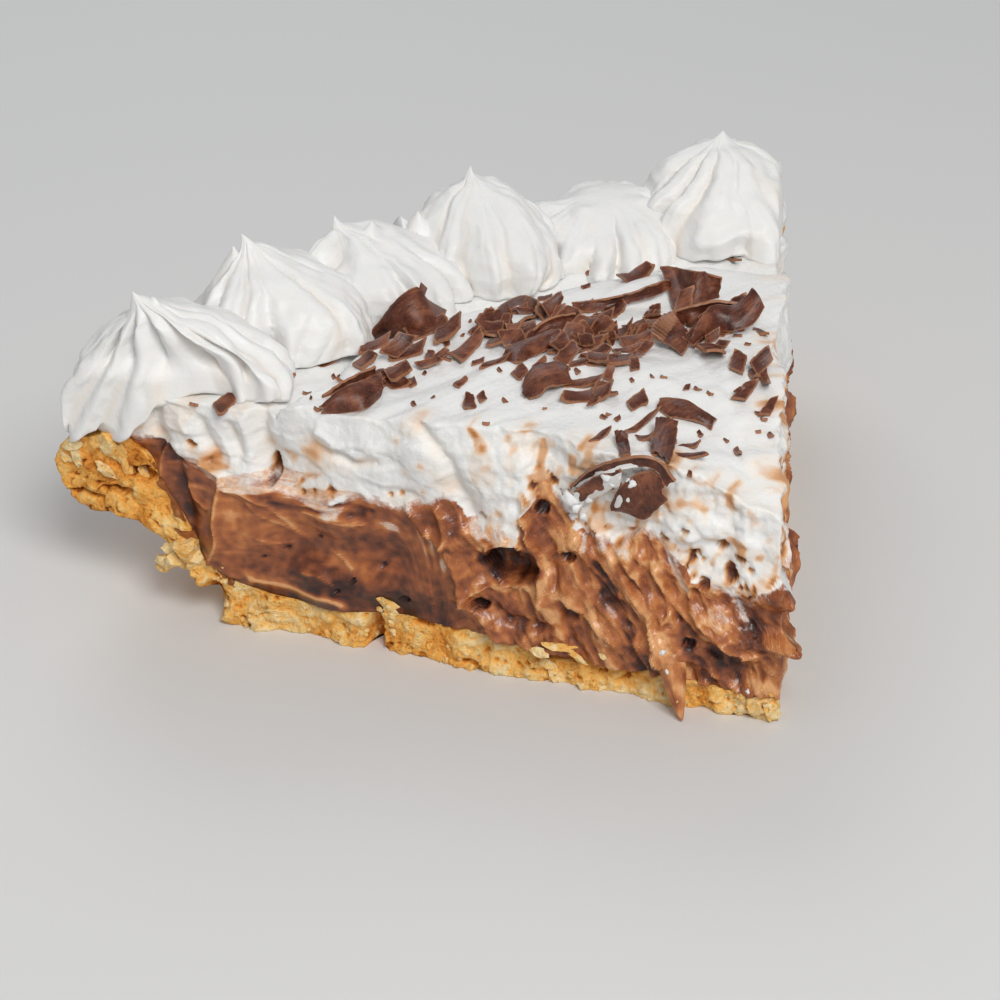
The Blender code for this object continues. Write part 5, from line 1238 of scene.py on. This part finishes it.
# Crumbs and flakes of crust on the near cut, and some that hang before it: the pixels of both
# ends, width in millimetres, tone. Loose crumbs lie along a trail of pixels.
flakes = [(530, 650, 546, 655, 1.3, 0.9), (541, 656, 553, 668, 1.2, 0.9), (549, 664, 559, 680, 1.6, 0.8),
          (546, 645, 575, 650, 1.1, 0.3), (566, 652, 584, 658, 1.0, 0.2), (377, 597, 389, 603, 1.4, 0.9),
          (383, 602, 397, 610, 1.6, 0.8), (388, 610, 396, 618, 1.0, 0.6), (66, 447, 78, 441, 1.8, 1.0),
          (74, 446, 80, 466, 1.4, 1.0), (62, 452, 72, 462, 1.2, 0.9), (108, 436, 118, 458, 2.4, 0.1),
          (116, 440, 126, 462, 2.0, 0.0), (124, 455, 132, 476, 1.6, 0.2), (98, 462, 112, 474, 1.6, 0.7),
          (138, 468, 150, 478, 1.2, 0.6), (238, 624, 246, 628, 1.6, 1.0),
          (252, 640, 262, 634, 1.4, 0.6), (748, 700, 760, 712, 2.2, 0.7), (762, 704, 776, 716, 2.4, 0.6),
          (770, 690, 786, 700, 1.8, 0.6), (730, 716, 742, 712, 1.6, 0.5), (600, 654, 606, 658, 1.0, 0.9)]
hanging = [(160, 557, 178, 562, 2.6, 0.5), (170, 550, 190, 560, 3.4, 0.6), (160, 564, 167, 569, 1.6, 0.3),
           (178, 540, 200, 556, 3.6, 0.6), (166, 545, 180, 552, 2.0, 0.8), (188, 560, 204, 566, 2.4, 0.4)]
crumbTrail = [(218, 580), (232, 612), (262, 640), (330, 648), (375, 640), (384, 618), (470, 668), (560, 684),
              (640, 700), (700, 715), (760, 716), (788, 700)]
crumbLook = {"loose": 150, "spread": 7.0, "sizes": (0.4, 0.5, 0.7, 0.9, 1.3), "sharp": 35.0,
             "pixel": 0.00026, "wide": 0.0012, "thick": 0.0008, "thickHanging": 0.0012}

ground = [treeOf(piece) for piece in (crust, filling, cream, drop, *bigCurls[len(curls):])]


# The nearest place and normal of the slice seen at a pixel, if it is seen there.
def seenOnSlice(x, y):
    eye, ray = sightLine(x, y)
    hits = [tree.ray_cast(eye, ray) for tree in ground]
    hits = [hit for hit in hits if hit[0] is not None]
    return min(hits, key=lambda hit: hit[3]) if hits else None


# The place on the near cut's plane at a pixel.
def seenOnPlane(x, y):
    eye, ray = sightLine(x, y)
    out = Vector((*cuts["near"]["out"], 0.0))
    return eye + ray * ((pointSpot - eye).dot(out) / ray.dot(out)), out


def crumbAt(bm, hit, run, size, tone, draw):
    fresh = bmesh.new()
    bmesh.ops.create_icosphere(fresh, subdivisions=2, radius=0.5)
    seed = draw.uniform(0.0, 90.0)
    for v in fresh.verts:
        v.co *= 1.0 + 0.8 * noise.noise(v.co * 2.6 + Vector((seed, 0.0, 0.0)))
        v.co *= 1.0 + 0.5 * noise.noise(v.co * 7.0 + Vector((0.0, seed, 0.0)))
        v.co = Vector((v.co.x * size[0], v.co.y * size[1], v.co.z * size[2]))
    layer = fresh.verts.layers.float.new("tone")
    for v in fresh.verts:
        v[layer] = tone
    side = hit[1].cross(run).normalized()
    axes = Matrix((run, side, hit[1])).transposed().to_4x4()
    bmesh.ops.transform(fresh, matrix=Matrix.Translation(hit[0] + hit[1] * size[2] * 0.15) @ axes,
                        verts=fresh.verts)
    joinInto(bm, fresh)


def makeCrumbs():
    draw = random.Random(pie["seed"] + 1)
    bm = bmesh.new()
    for find, found in ((seenOnSlice, flakes), (seenOnPlane, hanging)):
        for x0, y0, x1, y1, wide, tone in found:
            first, last, hit = find(x0, y0), find(x1, y1), find((x0 + x1) / 2.0, (y0 + y1) / 2.0)
            if not (first and last and hit):
                continue
            run = last[0] - first[0]
            long = min(run.length, crumbLook["pixel"] * math.hypot(x1 - x0, y1 - y0))
            run = (run - hit[1] * run.dot(hit[1])).normalized()
            thick = wide * crumbLook["thickHanging" if find is seenOnPlane else "thick"]
            crumbAt(bm, hit, run, (long * 1.2, wide * crumbLook["wide"], thick), tone * 0.5, draw)
    trail = list(zip(crumbTrail, crumbTrail[1:]))
    for number in range(crumbLook["loose"]):
        (x0, y0), (x1, y1) = draw.choice(trail)
        share, spread = draw.random(), crumbLook["spread"]
        hit = seenOnSlice(x0 + (x1 - x0) * share + draw.gauss(0.0, spread),
                          y0 + (y1 - y0) * share - 4.0 + draw.gauss(0.0, spread))
        if hit is None:
            continue
        size = mm * draw.choice(crumbLook["sizes"])
        run = hit[1].orthogonal().normalized()
        crumbAt(bm, hit, run, (size, size * 0.8, size * 0.7), draw.uniform(-0.3, 0.5), draw)
    piece = toPiece(bm, "crust_crumbs")
    piece.data.set_sharp_from_angle(angle=math.radians(crumbLook["sharp"]))
    writeShare(piece, "smear", np.zeros(len(piece.data.vertices)))
    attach(piece, "root")
    return piece


# Flecks of cream on the broken curl and the filling: pixel and size in millimetres.
flecks = [(569, 499, 2.4), (576, 507, 2.0), (583, 516, 1.4), (573, 515, 1.2), (588, 500, 1.3),
          (606, 478, 1.2), (632, 484, 1.2), (628, 480, 0.8), (612, 485, 0.7), (663, 652, 0.9),
          (667, 672, 0.7), (748, 692, 0.7), (645, 469, 0.8)]


def makeFlecks():
    draw = random.Random(pie["seed"] + 2)
    bm = bmesh.new()
    for x, y, size in flecks:
        hit = seenOnSlice(x, y)
        if hit is not None:
            run = hit[1].orthogonal().normalized()
            crumbAt(bm, hit, run, (size * 0.0013, size * 0.0010, size * 0.0005), 0.0, draw)
    piece = toPiece(bm, "cream_flecks")
    writeShare(piece, "stain", np.zeros(len(piece.data.vertices)))
    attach(piece, "root")
    return piece


print("crumbs")
crumbPiece = makeCrumbs()
fleckPiece = makeFlecks()


# Materials. A Link is the output of a shader node, used in sums as a number is.
class Link:
    def __init__(self, finish, socket):
        self.finish, self.socket = finish, socket

    def maths(self, operation, first, second):
        return self.finish.add("ShaderNodeMath", {"operation": operation}, {0: first, 1: second})

    def __add__(self, other):
        return self.maths("ADD", self, other)

    def __sub__(self, other):
        return self.maths("SUBTRACT", self, other)

    def __rsub__(self, other):
        return self.maths("SUBTRACT", other, self)

    def __mul__(self, other):
        return self.maths("MULTIPLY", self, other)

    def __abs__(self):
        return self.maths("ABSOLUTE", self, 0.0)

    __radd__ = __add__
    __rmul__ = __mul__


class Finish:
    def __init__(self, name):
        self.material = bpy.data.materials.new(name)
        self.material.use_nodes = True
        self.tree = self.material.node_tree
        self.tree.nodes.clear()
        self.spot = self.add("ShaderNodeTexCoord", {}, {}, "Object")

    def add(self, kind, settings, values, output=0):
        node = self.tree.nodes.new(kind)
        for key, value in settings.items():
            if key == "stops":
                self.setStops(node.color_ramp, value)
            else:
                setattr(node, key, value)
        for key, value in values.items():
            if isinstance(value, Link):
                self.tree.links.new(value.socket, node.inputs[key])
            else:
                node.inputs[key].default_value = value
        return Link(self, node.outputs[output]) if node.outputs else None

    def setStops(self, ramp, stops):
        while len(ramp.elements) < len(stops):
            ramp.elements.new(0.5)
        for element, (spot, colour) in zip(ramp.elements, stops):
            element.position = spot
            element.color = (*colour, 1.0)

    def share(self, name):
        return self.add("ShaderNodeAttribute", {"attribute_name": name}, {}, "Fac")

    def grain(self, scale, detail=4.0, roughness=0.55, stretch=(1.0, 1.0, 1.0), turn=0.0):
        spot = self.add("ShaderNodeMapping", {}, {"Vector": self.spot, "Scale": stretch,
                                                  "Rotation": (0.0, 0.0, turn)})
        return self.add("ShaderNodeTexNoise", {}, {"Vector": spot, "Scale": scale, "Detail": detail,
                                                   "Roughness": roughness}, "Fac")

    def streaks(self, scale, detail, roughness, distortion):
        flow = self.add("ShaderNodeAttribute", {"attribute_name": "flow"}, {}, "Vector")
        return self.add("ShaderNodeTexNoise", {}, {"Vector": flow, "Scale": scale, "Detail": detail,
                                                   "Roughness": roughness, "Distortion": distortion}, "Fac")

    def cells(self, scale):
        return self.add("ShaderNodeTexVoronoi", {}, {"Vector": self.spot, "Scale": scale}, "Distance")

    def clip(self, value, low, high, first=0.0, last=1.0):
        return self.add("ShaderNodeMapRange", {"clamp": True},
                        {"Value": value, "From Min": low, "From Max": high, "To Min": first,
                         "To Max": last})

    def blend(self, factor, first, second):
        paint = [(*c, 1.0) if isinstance(c, tuple) else c for c in (first, second)]
        return self.add("ShaderNodeMix", {"data_type": "RGBA"}, {0: factor, 6: paint[0], 7: paint[1]}, 2)

    def ramp(self, value, stops):
        return self.add("ShaderNodeValToRGB", {"stops": stops}, {"Fac": value})

    def relief(self, height, strength, distance):
        return self.add("ShaderNodeBump", {}, {"Height": height, "Strength": strength,
                                               "Distance": distance})

    def surface(self, values):
        return self.add("ShaderNodeBsdfPrincipled", {}, values)

    def close(self, surface):
        self.add("ShaderNodeOutputMaterial", {}, {"Surface": surface})
        return self.material


def creamSurface(f, strength):
    # The stain share holds real stains and smears, and painted shade in grooves, pits, holes and the creases
    # of rosettes.
    stain = f.share("stain")
    cloud = f.grain(260.0, 5.0)
    fluff = f.grain(900.0, 4.0, 0.6)
    warm = stain + (cloud - 0.5) * 0.16
    colour = f.ramp(warm, [(0.0, (0.840, 0.838, 0.825)), (0.28, (0.850, 0.790, 0.725)),
                           (0.52, (0.760, 0.500, 0.320)), (0.72, (0.560, 0.240, 0.075)),
                           (1.0, (0.130, 0.042, 0.024))])
    height = cloud * 0.6 + fluff * 0.4
    return f.surface({"Base Color": colour, "Roughness": f.clip(cloud, 0.3, 0.7, 0.38, 0.58),
                      "Normal": f.relief(height, strength, 0.0007), "Subsurface Weight": 0.25,
                      "Subsurface Radius": (1.0, 0.8, 0.6), "Subsurface Scale": 0.0014,
                      "Specular IOR Level": 0.35})


def puddingSurface(f):
    tone, drawn = f.share("tone"), f.share("drawn")
    drag = f.streaks(0.5, 4.0, 0.5, 0.8)
    away = f.streaks(0.55, 2.0, 0.5, 2.0) - 0.5
    vein = f.clip(abs(away), 0.0, 0.035, 1.0, 0.0)
    cloud, grit = f.grain(240.0, 5.0), f.grain(1100.0, 3.0)
    depth = tone * 0.42 + (drag - 0.5) * (drawn * 0.35 + 0.30) + vein * (drawn * 0.16 + 0.02) + 0.46
    depth = depth + (cloud - 0.5) * 0.45 + (grit - 0.5) * 0.25
    colour = f.ramp(depth, [(0.0, (0.036, 0.009, 0.006)), (0.25, (0.150, 0.040, 0.015)),
                            (0.50, (0.325, 0.094, 0.029)), (0.75, (0.500, 0.172, 0.048)),
                            (1.0, (0.730, 0.370, 0.155))])
    height = drag * 0.3 + cloud * 0.45 + grit * 0.12 + vein * (drawn * 0.30 + 0.05)
    return f.surface({"Base Color": colour, "Roughness": f.clip(cloud, 0.3, 0.7, 0.30, 0.50),
                      "Normal": f.relief(height, 0.5, 0.0009), "Subsurface Weight": 0.10,
                      "Subsurface Radius": (1.0, 0.45, 0.25), "Subsurface Scale": 0.0012,
                      "Specular IOR Level": 0.45, "Coat Weight": 0.22, "Coat Roughness": 0.14})


def makeWhipped():
    f = Finish("whipped_cream_finish")
    return f.close(creamSurface(f, 0.40))


def makePudding():
    f = Finish("pudding_and_cream")
    mixed = f.share("mixed")
    marble = f.streaks(1.3, 5.0, 0.65, 1.2) * 0.5 + f.grain(420.0, 6.0, 0.7) * 0.5
    edge = f.share("pudding") + (f.grain(700.0, 3.0) - 0.5) * 0.22 + (marble - 0.47) * mixed * 3.2
    soft = mixed * 0.45 + 0.02
    share = f.add("ShaderNodeMapRange", {"clamp": True}, {"Value": edge, "From Min": 0.5 - soft,
                                                          "From Max": soft + 0.5})
    pale, dark = creamSurface(f, 0.75), puddingSurface(f)
    return f.close(f.add("ShaderNodeMixShader", {}, {0: share, 1: pale, 2: dark}))


def makeBaked():
    f = Finish("baked_crust_finish")
    tone = f.share("tone")
    cloud, grit = f.grain(130.0, 5.0), f.grain(1000.0, 5.0, 0.7)
    pores = f.clip(f.cells(900.0), 0.0, 0.28)
    crumb, sand = f.clip(f.cells(620.0), 0.1, 0.7), f.grain(460.0, 4.0, 0.65)
    # At the pores and along the seams between crumbs the bump sinks and the colour darkens: painted shade.
    depth = tone * 0.45 + (cloud - 0.5) * 1.2 + (grit - 0.5) * 1.1 + pores * 0.22 - crumb * 0.12 + 0.58
    depth = depth + (sand - 0.5) * 0.9
    colour = f.ramp(depth, [(0.0, (0.300, 0.070, 0.008)), (0.22, (0.690, 0.235, 0.026)),
                            (0.48, (0.950, 0.445, 0.088)), (0.75, (0.975, 0.585, 0.185)),
                            (1.0, (0.980, 0.760, 0.420))])
    smear = f.clip(f.share("smear") + (cloud - 0.5) * 0.8, 0.42, 0.58)
    smeared = f.blend(f.clip(grit, 0.3, 0.7), (0.23, 0.070, 0.020), (0.42, 0.150, 0.045))
    colour = f.blend(smear, colour, smeared)
    height = (grit * 0.8 + pores * 0.3 + sand * 1.0 - crumb * 0.3) * (1.0 - smear * 0.8)
    dull = f.clip(grit, 0.3, 0.7, 0.72, 0.92)
    return f.close(f.surface({"Base Color": colour, "Roughness": dull - smear * 0.42,
                              "Normal": f.relief(height, 0.9, 0.0009), "Subsurface Weight": 0.10,
                              "Subsurface Radius": (1.0, 0.5, 0.2), "Subsurface Scale": 0.0015,
                              "Specular IOR Level": 0.25}))


def makeShaved():
    f = Finish("shaved_chocolate_finish")
    pale = f.share("pale")
    cloud, grit = f.grain(300.0, 4.0), f.grain(2600.0, 3.0, 0.6)
    lines = f.grain(900.0, 2.0, stretch=(0.25, 3.0, 1.0), turn=0.5)
    dust = f.clip(grit, 0.60, 0.70)
    shade = f.ramp((cloud - 0.5) * 2.2 + (lines - 0.5) * 0.9 + 0.5,
                   [(0.0, (0.040, 0.009, 0.005)), (0.5, (0.115, 0.031, 0.015)),
                    (1.0, (0.260, 0.088, 0.042))])
    dusted = f.blend(dust * 0.30, shade, (0.42, 0.20, 0.11))
    colour = f.blend(f.clip(pale + (grit - 0.5) * 0.7, 0.45, 1.05) * 0.8, dusted, (0.420, 0.190, 0.095))
    white = f.clip(f.share("creamed") + (f.grain(800.0, 3.0) - 0.5) * 0.6, 0.45, 0.55)
    colour = f.blend(white, colour, (0.82, 0.81, 0.79))
    height = lines * 0.5 + grit * 0.5
    return f.close(f.surface({"Base Color": colour, "Roughness": f.clip(cloud, 0.3, 0.7, 0.32, 0.52),
                              "Normal": f.relief(height + white * 1.5, 0.4, 0.0003),
                              "Specular IOR Level": 0.4}))


print("materials")
whipped, pudding, baked, shaved = makeWhipped(), makePudding(), makeBaked(), makeShaved()
for piece in (cream, filling, drop):
    piece.data.materials.append(pudding)
for piece in [*border, fleckPiece]:
    piece.data.materials.append(whipped)
for piece in (crust, crumbPiece):
    piece.data.materials.append(baked)
for piece in [*bigCurls, scatter]:
    piece.data.materials.append(shaved)


# Floor and light.
studio = {"floor": 6.0, "floorColour": (0.70, 0.70, 0.695), "floorRoughness": 0.6,
          "world": (0.95, 0.97, 1.0), "worldStrength": 0.32, "aim": (0.0, 0.0, 0.02)}
lights = [  # place, size, watts, colour
    ((-0.20, -0.76, 0.80), 0.42, 8.4, (1.0, 0.985, 0.96)),
    ((0.25, 0.85, 0.75), 0.60, 2.4, (0.97, 0.98, 1.0)),
]


def makeStudio():
    bm = bmesh.new()
    bmesh.ops.create_grid(bm, x_segments=2, y_segments=2, size=studio["floor"] / 2.0)
    floor = toPiece(bm, "floor")
    f = Finish("floor_finish")
    floor.data.materials.append(f.close(f.surface({"Base Color": (*studio["floorColour"], 1.0),
                                                   "Roughness": studio["floorRoughness"]})))
    world = bpy.data.worlds.new("studio")
    world.use_nodes = True
    background = world.node_tree.nodes["Background"]
    background.inputs["Color"].default_value = (*studio["world"], 1.0)
    background.inputs["Strength"].default_value = studio["worldStrength"]
    bpy.context.scene.world = world
    for number, (spot, size, watts, colour) in enumerate(lights):
        data = bpy.data.lights.new(f"lamp_{number + 1}", "AREA")
        data.size = size
        data.energy = watts
        data.color = colour
        lamp = bpy.data.objects.new(data.name, data)
        lamp.location = spot
        aim = Vector(studio["aim"]) - Vector(spot)
        lamp.rotation_euler = aim.to_track_quat("-Z", "Y").to_euler()
        bpy.context.scene.collection.objects.link(lamp)
    bpy.context.scene.view_settings.view_transform = "Standard"


makeStudio()
